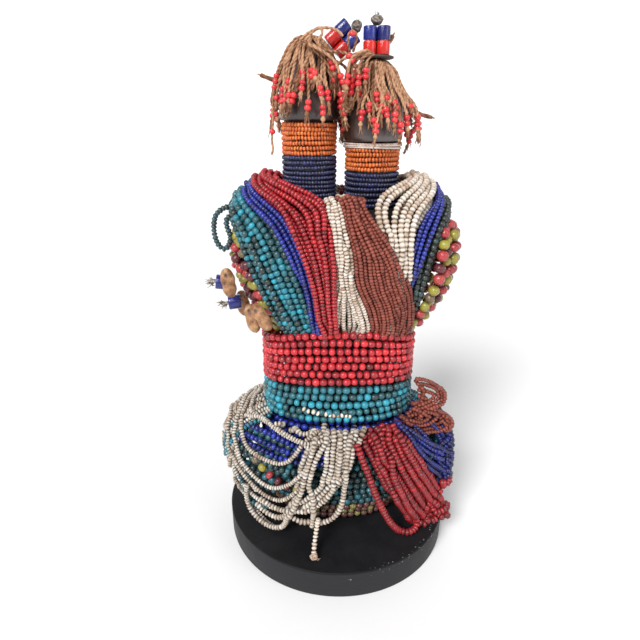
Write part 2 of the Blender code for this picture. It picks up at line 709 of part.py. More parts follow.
def build_tail(colours):
    """The loose end of a white strand, down to the stand's top face."""
    path = []
    for k in range(8):
        share = k / 7
        x = TAIL_PLACE - TAIL_CURL * math.sin(2 * share)
        y = -SKIRT_HALF_DEPTH - SKIRT_LAYER - TAIL_LENGTH * smooth_step(share * 1.2)
        z = BASE_THICKNESS + STRAND_RADIUS + TOUCH + 0.25 * SKIRT_TOP * (1 - share) ** 2
        path.append(Vector((x, y, z)))
    strand("white_tail_strand", path, colours["white"])


def main():
    clear_scene()
    colours = {
        "wood": finish("dark wood", (0.045, 0.028, 0.022), 0.35),
        "paint": finish("black paint", (0.012, 0.012, 0.014), 0.55),
        "orange": finish("orange glass", (0.85, 0.19, 0.03), 0.35),
        "navy": finish("navy glass", (0.012, 0.016, 0.07), 0.4),
        "red": finish("red glass", (0.62, 0.02, 0.03), 0.35),
        "blue": finish("blue glass", (0.02, 0.04, 0.48), 0.35),
        "teal": finish("teal glass", (0.05, 0.25, 0.30), 0.35),
        "green": finish("grey-green glass", (0.06, 0.12, 0.11), 0.4),
        "terracotta": finish("terracotta glass", (0.30, 0.07, 0.04), 0.45),
        "mixed": finish("mixed glass", (0.30, 0.12, 0.05), 0.4),
        "white": finish("white glass", (0.80, 0.70, 0.58), 0.45),
        "pod": finish("seed pod", (0.30, 0.15, 0.07), 0.6),
        "cord": finish("hair cord", (0.32, 0.17, 0.09), 0.9),
        "hide": finish("dark hide", (0.06, 0.04, 0.03), 0.7),
    }
    build_base(colours["paint"])
    build_figure(colours["wood"])
    build_neck_rings(colours["orange"], colours["navy"])
    build_hair(colours["cord"])
    build_crowns(colours)
    build_shoulder_strands(colours)
    build_chest_strands(colours)
    build_sides(colours)
    build_arm_loop(colours)
    build_belt(colours)
    build_wraps(colours)
    build_skirt(colours)
    build_side_loops(colours)
    build_tail(colours)


main()
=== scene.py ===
"""The looks of a two-headed beaded namji doll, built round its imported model."""

import math

import bpy
import numpy as np
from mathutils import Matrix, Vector
from mathutils.bvhtree import BVHTree


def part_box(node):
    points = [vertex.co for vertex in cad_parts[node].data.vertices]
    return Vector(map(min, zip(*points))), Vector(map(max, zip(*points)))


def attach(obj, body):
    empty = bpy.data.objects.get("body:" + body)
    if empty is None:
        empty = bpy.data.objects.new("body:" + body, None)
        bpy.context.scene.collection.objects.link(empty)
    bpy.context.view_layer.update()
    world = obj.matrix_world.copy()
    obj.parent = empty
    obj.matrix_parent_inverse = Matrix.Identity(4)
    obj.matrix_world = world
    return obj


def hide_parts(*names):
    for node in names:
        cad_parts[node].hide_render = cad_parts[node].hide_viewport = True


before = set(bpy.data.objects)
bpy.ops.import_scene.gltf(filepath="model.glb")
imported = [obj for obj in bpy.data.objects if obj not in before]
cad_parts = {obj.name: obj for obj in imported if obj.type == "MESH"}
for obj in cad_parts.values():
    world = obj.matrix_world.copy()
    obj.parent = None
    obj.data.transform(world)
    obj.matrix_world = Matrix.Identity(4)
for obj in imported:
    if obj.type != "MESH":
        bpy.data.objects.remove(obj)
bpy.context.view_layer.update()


# The stand is a thick round of wood, sawn flat, its edges just broken. It is painted a thin
# satin black that has chipped to pale wood here and there along the rim.

MM = 0.001
STAND_SIDES = 180
STAND_EDGE = 0.8 * MM
CHIP_REACH, CHIP_DROP = 4 * MM, 6 * MM


class Wire:
    """One output socket of a material's nodes. Arithmetic on wires adds the tree's Math nodes."""

    def __init__(self, tree, socket=None):
        self.tree = tree
        self.socket = socket

    def node(self, kind, settings=None, inputs=None, output=0):
        """The output of a new node: its settings come first, then the values or wires of its inputs."""
        made = self.tree.nodes.new("ShaderNode" + kind)
        for key, value in (settings or {}).items():
            if key == "stops":
                stops = made.color_ramp.elements
                for (place, colour), stop in zip(value, list(stops) + [stops.new(1) for _ in value[2:]]):
                    stop.position = place
                    stop.color = (*colour, 1)
            else:
                setattr(made, key, value)
        for key, value in (inputs or {}).items():
            if isinstance(value, Wire):
                self.tree.links.new(value.socket, made.inputs[key])
            else:
                made.inputs[key].default_value = value
        return Wire(self.tree, made.outputs[output])

    def maths(self, operation, first, second):
        return self.node("Math", {"operation": operation}, {0: first, 1: second})

    def __add__(self, other):
        return self.maths("ADD", self, other)

    def __sub__(self, other):
        return self.maths("SUBTRACT", self, other)

    def __rsub__(self, other):
        return self.maths("SUBTRACT", other, self)

    def __mul__(self, other):
        return self.maths("MULTIPLY", self, other)

    def __gt__(self, other):
        return self.maths("GREATER_THAN", self, other)

    __radd__ = __add__
    __rmul__ = __mul__

    def blend(self, share, first, second):
        """A colour between two colours."""
        return self.node("Mix", {"data_type": "RGBA"}, {0: share, 6: first, 7: second}, 2)

    def feed(self, socket):
        """Joins this wire to a socket of the tree's own shader."""
        self.tree.links.new(self.socket, self.tree.nodes["Principled BSDF"].inputs[socket])

    def raise_by(self, height):
        """Lets a height in metres roughen the surface."""
        self.node("Bump", {}, {"Height": height, "Distance": 1.0, "Strength": 1.0}).feed("Normal")


def new_finish(name, colour, roughness, **plain):
    """A material with plain values on its shader, and its object coordinates to work from."""
    material = bpy.data.materials.new(name)
    material.use_nodes = True
    shader = material.node_tree.nodes["Principled BSDF"]
    shader.inputs["Base Color"].default_value = (*colour, 1)
    shader.inputs["Roughness"].default_value = roughness
    for socket, value in plain.items():
        shader.inputs[socket.replace("_", " ").title().replace("Ior", "IOR")].default_value = value
    return material, Wire(material.node_tree).node("TexCoord", output="Object")


def noise(place, scale, detail, roughness=0.5):
    """A mottle in the object's own coordinates: the larger its scale, the finer it is."""
    inputs = {"Vector": place, "Scale": scale, "Detail": detail, "Roughness": roughness}
    return place.node("TexNoise", {}, inputs)


def carried(place, name):
    """A value that the mesh carries at each of its points."""
    return place.node("Attribute", {"attribute_name": name}, output="Fac")


class Heap:
    """Closed shapes gathered into one mesh, each point with a tint and a mark for the ends and holes of beads
    and pods, where the finishes paint shade.
    """

    def __init__(self):
        self.points, self.corners, self.sizes, self.tints, self.ends = [], [], [], [], []
        self.count = 0

    def add(self, points, faces, tint, end=0.0):
        for group in faces:
            self.corners.append((group + self.count).ravel())
            self.sizes.append(np.full(len(group), group.shape[1]))
        self.points.append(points)
        self.tints.append(np.broadcast_to(tint, len(points)))
        self.ends.append(np.broadcast_to(end, len(points)))
        self.count += len(points)

    def piece(self, name, material, slot, *nodes):
        mesh = bpy.data.meshes.new(name)
        points, corners, sizes = (np.concatenate(part) for part in (self.points, self.corners, self.sizes))
        mesh.vertices.add(len(points))
        mesh.vertices.foreach_set("co", points.astype(np.float32).ravel())
        mesh.loops.add(len(corners))
        mesh.loops.foreach_set("vertex_index", corners.astype(np.int32))
        mesh.polygons.add(len(sizes))
        mesh.polygons.foreach_set("loop_start", (np.cumsum(sizes) - sizes).astype(np.int32))
        mesh.polygons.foreach_set("use_smooth", np.ones(len(sizes), bool))
        mesh.update(calc_edges=True)
        for key, values in (("tint", self.tints), ("end", self.ends)):
            carrier = mesh.attributes.new(key, "FLOAT", "POINT")
            carrier.data.foreach_set("value", np.concatenate(values).astype(np.float32))
        return dress(bpy.data.objects.new(name, mesh), material, slot, *nodes)


def dress(piece, material, slot, *nodes):
    """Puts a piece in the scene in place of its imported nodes, with its finish."""
    bpy.context.scene.collection.objects.link(piece)
    piece.data.materials.clear()
    piece.data.materials.append(material)
    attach(piece, "root")
    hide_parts(*nodes)
    return piece


def unit(vectors):
    """The same directions at length one."""
    return vectors / np.linalg.norm(vectors, axis=-1, keepdims=True)


def tube_faces(rings, sides):
    """The faces of a closed tube of rings: quads round it and a cap at each end."""
    turn = np.arange(sides)
    after = (turn + 1) % sides
    first = np.arange(rings - 1)[:, None] * sides
    second = first + sides
    quads = np.stack([first + turn, first + after, second + after, second + turn], -1)
    return [quads.reshape(-1, 4), np.array([turn[::-1], (rings - 1) * sides + turn])]


def turned(heap, profile, sides, centre=(0, 0, 0), axis=(0, 0, 1), wobble=0.0, tint=0.5):
    """Adds a shape turned about an axis, from a profile of radii and heights that runs up its outside."""
    radii, heights = np.array(profile).T
    turn = np.linspace(0, 2 * np.pi, sides, endpoint=False)
    swell = wobble * np.sin(2 * turn + 1) + wobble * np.sin(5 * turn + 300 * heights[:, None])
    radii = radii[:, None] * (1 + swell)
    axis = unit(axis)
    across = unit(np.cross((0, 1, 0), axis))
    points = (
        (radii * np.cos(turn))[..., None] * across
        + (radii * np.sin(turn))[..., None] * np.cross(axis, across)
        + heights[:, None, None] * axis
    )
    heap.add(points.reshape(-1, 3) + centre, tube_faces(len(profile), sides), tint)


def stand_paint():
    material, place = new_finish("satin black paint", (0.012, 0.012, 0.014), 0.5, specular_ior_level=0.14)
    grain = noise(place, 70.0, 6.0, 0.7)
    speck = noise(place, 560.0, 2.0)
    rub = noise(place, 17.0, 3.0)
    height = place.node("SeparateXYZ", {}, {0: place}, "Z")
    side = stand_top - 1.2 * STAND_EDGE - height > 0.0
    level = place.node("VectorMath", {"operation": "MULTIPLY"}, {0: place, 1: (1, 1, 0)})
    across = place.node("VectorMath", {"operation": "LENGTH"}, {0: level}, "Value")
    lip = (across > rim - CHIP_REACH) * (height > stand_top - CHIP_DROP)
    chip = (speck > 0.68) * (rub > 0.55) * lip
    # Painted light: the side of the stand is coloured a lighter black than its top, as if lit from the front.
    black = place.blend(side, (0.005, 0.005, 0.006, 1), (0.022, 0.022, 0.024, 1))
    worn = place.blend(grain * rub, black, (0.030, 0.030, 0.033, 1))
    place.blend(chip, worn, (0.26, 0.25, 0.24, 1)).feed("Base Color")
    (grain * 0.25 + 0.40 + chip * 0.2).feed("Roughness")
    place.raise_by(grain * 0.0004 + speck * 0.00006)
    return material


stand_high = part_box("base_disc")[1]
stand_top, rim = stand_high.z, stand_high.x
broken_edge = [(1 - math.cos(a), math.sin(a)) for a in np.radians(np.arange(0, 91, 15))]
foot = [(rim - STAND_EDGE * (1 - s), STAND_EDGE * c) for c, s in broken_edge]
lip = [(rim - STAND_EDGE * c, stand_top - STAND_EDGE * (1 - s)) for c, s in broken_edge]
stand = Heap()
turned(stand, foot + lip, STAND_SIDES, wobble=0.0008)
stand.piece("round_stand", stand_paint(), "stand_paint", "base_disc")


# The figure is carved from one block of dark hardwood, oiled and rubbed to a gloss on the two
# heads. Only their lower edges show under the fringes: the rest is wound with beads, and is coloured
# almost black as painted shade in the gaps between them.

HEAD_SIDES = 72
STAND_GAP, LEG_RADIUS = 0.3 * MM, 12 * MM
NECKS = (("left", -16.5 * MM, 232.3 * MM), ("right", 16.5 * MM, 222.2 * MM))
HEAD_RADIUS, HEAD_HEIGHT, NECK_RADIUS = 15.2 * MM, 35.0 * MM, 12.4 * MM
TRUNK_HEIGHT, TRUNK_HALF_WIDTH, TRUNK_HALF_DEPTH = 190.0 * MM, 52.0 * MM, 26.5 * MM
TRUNK = (
    (0.205, 0.56, 0.64), (0.326, 0.60, 0.69), (0.442, 0.61, 0.71), (0.547, 0.62, 0.71),
    (0.653, 0.67, 0.72), (0.732, 0.83, 0.81), (0.811, 0.94, 0.94), (0.889, 1.00, 1.00),
    (0.947, 0.97, 0.92), (0.984, 0.88, 0.68), (1.000, 0.69, 0.45),
)
HEAD = (
    (0.60, 0.025), (0.93, 0.01), (0.985, 0.03), (1.00, 0.10), (1.00, 0.22), (0.985, 0.36), (0.94, 0.50),
    (0.88, 0.63), (0.79, 0.76), (0.66, 0.87), (0.48, 0.95), (0.26, 0.99), (0.05, 1.00),
)


def through(stations, share):
    """Smooth values through evenly numbered stations, at shares 0 to 1 of the way."""
    stations = np.asarray(stations, float)
    place = np.clip(np.asarray(share, float), 0, 1) * (len(stations) - 1)
    index = np.minimum(place.astype(int), len(stations) - 2)
    f = (place - index)[..., None]
    a, b = stations[np.maximum(index - 1, 0)], stations[index]
    c, d = stations[index + 1], stations[np.minimum(index + 2, len(stations) - 1)]
    return 0.5 * (2 * b + (c - a) * f + (2 * a - 5 * b + 4 * c - d) * f**2 + (3 * b - a - 3 * c + d) * f**3)


def oval(angle, half_width, half_depth, power=2.2):
    """A squarish oval: angle 0 is the front, and a positive angle turns to +X."""
    s, c = np.sin(angle), np.cos(angle)
    x = half_width * np.sign(s) * np.abs(s) ** (2 / power)
    y = -half_depth * np.sign(c) * np.abs(c) ** (2 / power)
    return x, y


def loft(heap, sections):
    """Adds a closed shape through rings of points, which run anticlockwise seen from its far end."""
    heap.add(np.reshape(sections, (-1, 3)), tube_faces(len(sections), len(sections[0])), 0.0)


def dark_wood():
    material, place = new_finish(
        "oiled dark wood", (0.045, 0.028, 0.022), 0.3, coat_weight=0.7, coat_roughness=0.12
    )
    grain = noise(place.node("Mapping", {}, {0: place, 3: (1, 1, 0.12)}), 700.0, 5.0)
    worn = noise(place, 90.0, 4.0)
    rubbed_head_vs_shaded_trunk = carried(place, "tint")
    colour = place.blend(grain, (0.016, 0.010, 0.009, 1), (0.060, 0.036, 0.030, 1))
    bare = place.node("MapRange", {}, {0: worn, 1: 0.5, 2: 0.75})
    colour = place.blend(bare, colour, (0.13, 0.10, 0.10, 1))
    # Painted shade: where the tint is 0 (trunk, necks and legs) the wood is coloured almost black, so gaps
    # between beads read dark.
    place.blend(rubbed_head_vs_shaded_trunk, (0.006, 0.004, 0.003, 1), colour).feed("Base Color")
    (worn * 0.3 + 0.66 - rubbed_head_vs_shaded_trunk * 0.5).feed("Roughness")
    place.raise_by(grain * 0.0001 + worn * 0.0003)
    return material


figure = Heap()
turns = np.radians(np.arange(0, 360, 6))
sections = []
for rise in np.linspace(0, 1, 41):
    height, width, depth = through(TRUNK, rise)
    x, y = oval(turns, width * TRUNK_HALF_WIDTH, depth * TRUNK_HALF_DEPTH)
    sections.append(np.stack([x, y, 0 * x + stand_top + height * TRUNK_HEIGHT], -1))
loft(figure, sections)
for name, x, rim_height in NECKS:
    for profile in (
        [(share * HEAD_RADIUS, rim_height + up * HEAD_HEIGHT) for share, up in HEAD],
        [(NECK_RADIUS, 0.93 * TRUNK_HEIGHT), (NECK_RADIUS, rim_height + 0.4 * HEAD_HEIGHT)],
        [(LEG_RADIUS, STAND_GAP), (LEG_RADIUS, 0.26 * TRUNK_HEIGHT)],
    ):
        head = len(profile) > 2
        # Only the heads get tint 1; the rest takes the wood finish's painted shade.
        turned(figure, profile, HEAD_SIDES, (x, 0, stand_top), wobble=0.006 * head, tint=1.0 * head)
figure.piece("dark_wood_figure", dark_wood(), "carved_wood", "carved_figure")


# The neck rings are seed beads threaded close and wound round each neck, orange over navy.
# Each row is one turn of the thread, and the beads stand on edge along it.

SEED = ((-0.50, 0.66), (0.0, 1.02), (0.50, 0.66))
ROUND = ((-0.50, 0.34), (-0.37, 0.74), (-0.14, 0.99), (0.14, 0.99), (0.37, 0.74), (0.50, 0.34))
SEED_RADIUS, SEED_LENGTH = 1.22 * MM, 1.62 * MM
chance = np.random.default_rng(11)


def thread_beads(heap, centres, radius, length, tint, outline=SEED, sides=6, along=None, tilt=0.07):
    """Adds a bead at each centre, its hole along the thread, each a little different as hand-cut glass is."""
    count = len(centres)
    along = np.gradient(centres, axis=0) if along is None else along
    along = unit(unit(along) + chance.normal(0, tilt, (count, 3)))
    across = unit(np.cross(along, chance.normal(0, 1, (count, 3))))
    upward = np.cross(along, across)
    size = radius * (1 + chance.normal(0, 0.05, (count, 1, 1)))
    long = length * (1 + chance.normal(0, 0.10, (count, 1, 1)))
    places, shares = np.array(outline).T
    turn = np.linspace(0, 2 * np.pi, sides, endpoint=False)
    out = np.outer(shares, np.cos(turn)).reshape(-1, 1)
    up = np.outer(shares, np.sin(turn)).reshape(-1, 1)
    run = np.repeat(places, sides)[:, None]
    disc = across[:, None] * out + upward[:, None] * up
    points = centres[:, None] + disc * size + along[:, None] * run * long
    starts = (np.arange(count) * len(run))[:, None, None]
    faces = [(group + starts).reshape(-1, group.shape[1]) for group in tube_faces(len(outline), sides)]
    # The end rings of each bead are marked for painted shade, where it meets its neighbours and round its
    # hole.
    ends = np.tile(np.abs(run[:, 0]) > 0.45, count).astype(float)
    heap.add(points.reshape(-1, 3), faces, np.repeat(tint, len(run)), ends)


def glass(name, stops, roughness=0.3, grime_and_shade=(0.030, 0.019, 0.014), dust_and_shade=0.85, coat=0.3):
    """Old trade glass: a colour for each bead from its tint, clouded, with painted shade at its ends and
    holes, dirt in random patches, and pits in its bump.
    """
    middle = stops[len(stops) // 2][1]
    material, place = new_finish(name, middle, roughness, coat_weight=coat, coat_roughness=0.15)
    tint = carried(place, "tint")
    end = carried(place, "end")
    cloud = noise(place, 800.0, 4.0, 0.6)
    pits = noise(place, 2400.0, 2.0)
    colour = place.node("ValToRGB", {"stops": stops}, {"Fac": tint + (cloud - 0.5) * 0.25})
    # Painted shade at each bead's ends, with dirt in random patches from the cloud.
    end_shade_and_dirt = place.node("MapRange", {}, {0: end * 0.5 + cloud, 1: 0.55, 2: 1.15})
    place.blend(end_shade_and_dirt * dust_and_shade, colour, (*grime_and_shade, 1)).feed("Base Color")
    (cloud * 0.3 + end * 0.2 + (roughness - 0.15)).feed("Roughness")
    place.raise_by(pits * 0.00012 + cloud * 0.00015)
    return material


def mixed_tints(count, spread=0.25, run=0.5):
    """Bead tints that wander slowly along a thread, with some beads quite unlike their neighbours."""
    drift = np.cumsum(chance.normal(0, 0.08, count))
    tint = run + 0.5 * np.tanh(drift - drift.mean()) * spread + chance.normal(0, spread * 0.5, count)
    return np.clip(tint, 0, 1)


orange_glass = glass(
    "orange glass", ((0.0, (0.50, 0.08, 0.015)), (0.5, (0.83, 0.17, 0.025)), (1.0, (0.95, 0.30, 0.06)))
)
navy_glass = glass(
    "navy glass", ((0.0, (0.006, 0.008, 0.022)), (0.6, (0.014, 0.020, 0.085)), (1.0, (0.03, 0.04, 0.22))),
    roughness=0.28, grime_and_shade=(0.12, 0.10, 0.09), dust_and_shade=0.4,
)
for side in ("left", "right"):
    for colour, material, pitch in (("orange", orange_glass, 2.3 * MM), ("navy", navy_glass, 2.35 * MM)):
        node = f"{side}_neck_{colour}_beads"
        low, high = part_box(node)
        rows = round((high.z - low.z) / pitch)
        reach = (high.x - low.x) / 2 - SEED_RADIUS
        count = int(2 * math.pi * reach / SEED_LENGTH)
        heap = Heap()
        for row in range(rows):
            turn = 2 * np.pi * (np.arange(count) + chance.random()) / count
            wander = reach + chance.normal(0, 0.05 * SEED_RADIUS, count)
            level = low.z + (row + 0.5) * (high.z - low.z) / rows + 0.25 * SEED_RADIUS * np.sin(turn + row)
            level += chance.normal(0, 0.05 * SEED_RADIUS, count)
            x = (low.x + high.x) / 2 + wander * np.cos(turn)
            centres = np.stack([x, wander * np.sin(turn), level], -1)
            along = np.stack([-np.sin(turn), np.cos(turn), 0 * turn], -1)
            length = 0.97 * 2 * math.pi * reach / count
            thread_beads(heap, centres, SEED_RADIUS, length, mixed_tints(count), along=along)
        heap.piece(f"{side}_neck_{colour}_seed_beads", material, f"{colour}_glass", node)


# Strands of beads hang over the shoulders and down the chest and back, tucked under the belt.
# They are laid along the edges of their bundles and then settle: beads push apart, and threads
# keep their length.

BELT_TOP, BELT_DIP = 121.98 * MM, 4.5 * MM
JACKET_FOOT, JACKET_TOP = 123.6 * MM, 208.5 * MM
SHOULDER_HALF_WIDTH, CHEST_HALF_DEPTH = 62.5 * MM, 37.0 * MM
JACKET = (
    (0.00, 0.70, 0.74), (0.19, 0.85, 0.84), (0.37, 0.95, 0.95), (0.55, 1.00, 1.00), (0.69, 0.99, 0.96),
    (0.80, 0.94, 0.84), (0.90, 0.84, 0.66), (0.97, 0.71, 0.46), (1.00, 0.56, 0.25),
)
RED_INNER = ((-7, 0), (-3, 0.24), (-4, 0.50), (-13, 0.73), (-90, 0.985))
RED_OUTER = ((-10, 0), (-13, 0.20), (-19, 0.42), (-36, 0.66), (-90, 0.87))
BLUE_OUTER = ((-13, 0), (-17, 0.22), (-25, 0.41), (-42, 0.59), (-90, 0.77))
TEAL_OUTER = ((-46, 0), (-48, 0.16), (-54, 0.34), (-67, 0.50), (-90, 0.62))
WHITE_INNER = ((34, 0), (24, 0.25), (15, 0.50), (22, 0.76), (90, 0.985))
WHITE_OUTER = ((40, 0), (34, 0.20), (34, 0.38), (47, 0.60), (90, 0.80))
ROYAL_OUTER = ((48, 0), (41, 0.20), (42, 0.39), (56, 0.57), (90, 0.73))
GREEN_OUTER = ((62, 0), (51, 0.19), (50, 0.38), (62, 0.55), (90, 0.64))
CENTRE_LEFT = ((-8, 0), (-2.5, 0.21), (-2, 0.43), (-4, 0.60), (-4, 0.73))
CENTRE_RIGHT = ((22, 0), (6.5, 0.20), (2, 0.42), (0.8, 0.58), (1, 0.72))
BROWN_OUTER = ((60, 0.02), (38, 0.19), (27, 0.34), (13, 0.53), (4, 0.71))


def smooth_step(value):
    value = np.clip(value, 0, 1)
    return value * value * (3 - 2 * value)


def jacket_point(angle, climb):
    """A point on the outside of the strands: climb runs from 0 at the belt to 1 at the necks."""
    height, width, depth = np.moveaxis(through(JACKET, climb), -1, 0)
    x, y = oval(angle, width * SHOULDER_HALF_WIDTH, depth * CHEST_HALF_DEPTH)
    level = JACKET_FOOT + height * (JACKET_TOP - JACKET_FOOT)
    level = level + BELT_DIP * np.cos(2 * angle) * (1 - smooth_step(climb / 0.4))
    return np.stack([x, y, stand_top + level], -1)


def chest_point(angle, climb, sink):
    """The same point sunk into the strands: level at the belt, square to the surface further up."""
    step = 0.004
    inner = np.clip(climb, step, 1 - step)
    around = jacket_point(angle + step, climb) - jacket_point(angle - step, climb)
    upward = jacket_point(angle, inner + step) - jacket_point(angle, inner - step)
    normal = unit(np.cross(around, upward))
    level = unit(normal * (1, 1, 0))
    share = smooth_step(np.asarray(climb) / 0.4)[..., None]
    outward = unit(level * (1 - share) + normal * share)
    return jacket_point(angle, climb) - outward * np.asarray(sink)[..., None]


def stepped(path, pitch):
    """Points at equal steps along a path."""
    reach = np.concatenate([[0], np.cumsum(np.linalg.norm(np.diff(path, axis=0), axis=1))])
    marks = np.linspace(0, reach[-1], max(4, round(reach[-1] / pitch)))
    return np.stack([np.interp(marks, reach, path[:, k]) for k in range(3)], -1)


def near_pairs(points, reach):
    """Every pair of points that may be closer than reach, through a grid of cells of that size."""
    cells = np.floor(points / reach).astype(np.int64)
    cells += 1 - cells.min(axis=0)
    span = cells.max(axis=0) + 2
    code = (cells[:, 0] * span[1] + cells[:, 1]) * span[2] + cells[:, 2]
    order = np.argsort(code, kind="stable")
    ranked = code[order]
    steps = [(x, y, z) for x in (-1, 0, 1) for y in (-1, 0, 1) for z in (-1, 0, 1) if (x, y, z) >= (0, 0, 0)]
    firsts, seconds = [], []
    for x, y, z in steps:
        wanted = code + (x * span[1] + y) * span[2] + z
        low, high = np.searchsorted(ranked, wanted, "left"), np.searchsorted(ranked, wanted, "right")
        many = high - low
        first = np.repeat(np.arange(len(points)), many)
        second = order[np.arange(many.sum()) - np.repeat(np.cumsum(many) - many, many) + np.repeat(low, many)]
        keep = first < second if (x, y, z) == (0, 0, 0) else first != second
        firsts.append(first[keep])
        seconds.append(second[keep])
    return np.concatenate(firsts), np.concatenate(seconds)


def wall_of(*nodes):
    """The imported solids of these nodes, for beads and cords to lie on."""
    corners, faces = [], []
    for node in nodes:
        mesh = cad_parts[node].data
        start = len(corners)
        corners += [vert.co.copy() for vert in mesh.vertices]
        faces += [[start + k for k in face.vertices] for face in mesh.polygons]
    return BVHTree.FromPolygons(corners, faces)


# Beads press into each other a little, and the wall is felt up to a reach beyond them.
PRESSED, WALL_REACH = 0.96, 5 * MM


def settle(rows, rounds, pull, fall, wall, pinned=2, floor=None):
    """Lets threads find their places. A row is its bead centres and their radius: beads push apart and
    off the wall, each thread keeps its length and its ends, and pull draws it to where it was laid."""
    points = np.concatenate([centres for centres, _ in rows])
    radius = np.concatenate([np.full(len(centres), size) for centres, size in rows])
    thread = np.concatenate([np.full(len(centres), k) for k, (centres, _) in enumerate(rows)])
    free = np.ones(len(points), bool)
    starts = np.cumsum([0] + [len(centres) for centres, _ in rows])
    for start, stop in zip(starts[:-1], starts[1:]):
        free[start:start + pinned] = False
        free[stop - pinned:stop] = False
    link = np.flatnonzero(thread[:-1] == thread[1:])
    middle = link[1:][thread[link[1:] - 1] == thread[link[1:] + 1]]
    rest = np.linalg.norm(points[link + 1] - points[link], axis=1)
    home = points.copy()
    for turn in range(rounds):
        points[:, 2] -= fall * free
        points += (home - points) * pull
        if turn % 4 == 0:
            a, b = near_pairs(points, 2.4 * radius.max())
            apart = (thread[a] != thread[b]) | (np.abs(a - b) > 4)
            a, b = a[apart], b[apart]
        gap = points[a] - points[b]
        far = np.linalg.norm(gap, axis=1) + 1e-9
        need = PRESSED * (radius[a] + radius[b]) - far
        hit = need > 0
        move = gap[hit] * (0.4 * need[hit] / far[hit])[:, None]
        for axis in range(3):
            points[:, axis] += np.bincount(a[hit], move[:, axis], len(points))
            points[:, axis] -= np.bincount(b[hit], move[:, axis], len(points))
        points[middle] += 0.15 * ((points[middle - 1] + points[middle + 1]) / 2 - points[middle])
        for _ in range(3):
            line = points[link + 1] - points[link]
            size = np.linalg.norm(line, axis=1) + 1e-9
            line *= (0.5 * (size - rest) / size)[:, None]
            points[link] += line
            points[link + 1] -= line
        if turn % 3 == 0 or turn == rounds - 1:
            for k in np.flatnonzero(free):
                place = Vector(points[k])
                spot, normal, _, distance = wall.find_nearest(place, radius[k] + WALL_REACH)
                if spot is not None:
                    outside = (place - spot).dot(normal) > 0
                    if not outside or distance < radius[k]:
                        points[k] = spot + ((place - spot).normalized() if outside else normal) * radius[k]
        if floor is not None:
            points[:, 2] = np.maximum(points[:, 2], floor + radius)
        points[~free] = home[~free]
    return [points[start:stop] for start, stop in zip(starts[:-1], starts[1:])]


def smooth_line(points, count):
    """A smooth line through a few points, given at this many places."""
    return through(points, np.linspace(0, 1, count))


def down_the_front(stations):
    """Angles and climbs of an edge line between the belt and its other end, at the front."""
    return smooth_line(stations, 40)


def down_the_back(stations):
    line = down_the_front(stations)
    line[:, 0] = (180 - line[:, 0]) % 360
    return line


def over_shoulder(stations):
    """The same from the belt's front over the crest to the belt's back."""
    front = down_the_front(stations)
    back = front[-2::-1].copy()
    back[:, 0] = np.sign(back[:, 0]) * 180 - back[:, 0]
    return np.concatenate([front, back])


# What the photograph shows is followed from its own pixels, with the camera that took it.
EYE = Vector((-10.9 * MM, -276 * MM, 230 * MM + stand_top))
PITCH = math.radians(21.2)
PIXELS = 500
FIGURE_MIDDLE = 332


def sight(px, py):
    """The direction in which the camera sees a pixel of the photograph."""
    right, rise = (px - 320) / PIXELS, (320 - py) / PIXELS
    return Vector((right, math.cos(PITCH) + rise * math.sin(PITCH), rise * math.cos(PITCH) - math.sin(PITCH)))


def seen_on(wall, px, py, inward=None):
    """The point of a surface at a pixel. One that misses the surface moves inward until it meets it."""
    to_px, to_py = inward or (FIGURE_MIDDLE, py)
    for step in np.linspace(0, 1, 80):
        spot = wall.ray_cast(EYE, sight(px + step * (to_px - px), py + step * (to_py - py)))[0]
        if spot is not None:
            return np.array(spot)


def traced(marks, wall):
    """The path of pixels on a surface."""
    spots = [seen_on(wall, px, py) for px, py in smooth_line(marks, 12 * len(marks))]
    return np.array([spot for spot in spots if spot is not None])


def at_depth(px, py, depth):
    """The point at a pixel that lies in the upright plane at a depth in mm behind the figure's middle."""
    way = sight(px, py)
    return np.array(EYE + way * ((depth * MM - EYE.y) / way.y))


TUCK = ((-10.0, 6.0), (-6.0, 5.0), (-2.5, 3.0))


def tucked(path):
    """Carries a strand's end down behind the belt's top row, by drops and sinks in mm."""
    first = path[0]
    inward = -first * (1, 1, 0) / np.linalg.norm(first[:2])
    tail = [first + inward * sink * MM + (0, 0, drop * MM) for drop, sink in TUCK]
    return np.concatenate([tail, path])


def strand_paths(line_a, line_b, count, radius, under):
    """Paths of a bundle's strands between its two edge lines: they wander, cross and lie in two layers.
    A bundle that passes under its neighbour is sunk by under at the belt."""
    paths = []
    run = np.linspace(0, 1, len(line_a))
    for layer, strands in enumerate((count, round(0.6 * count))):
        for k in range(strands):
            place = (k + 0.5) / strands
            start, finish = np.clip(place + chance.normal(0, 0.42 / count, 2), 0.04, 0.96)
            sway = 0.35 / count * np.sin(2 * np.pi * run * chance.uniform(0.7, 2.2) + chance.uniform(0, 6))
            share = np.clip(start + (finish - start) * run + sway, 0.03, 0.97)
            angle = np.radians(line_a[:, 0] + (line_b[:, 0] - line_a[:, 0]) * share)
            climb = line_a[:, 1] + (line_b[:, 1] - line_a[:, 1]) * share
            sink = radius * (0.9 + 1.8 * layer + chance.uniform(0, 0.5)) + 0.3 * radius * np.sin(5 * run + k)
            sink = sink + under * (1 - smooth_step(climb / 0.35))
            paths.append(tucked(tucked(chest_point(angle, climb, sink))[::-1]))
    return paths


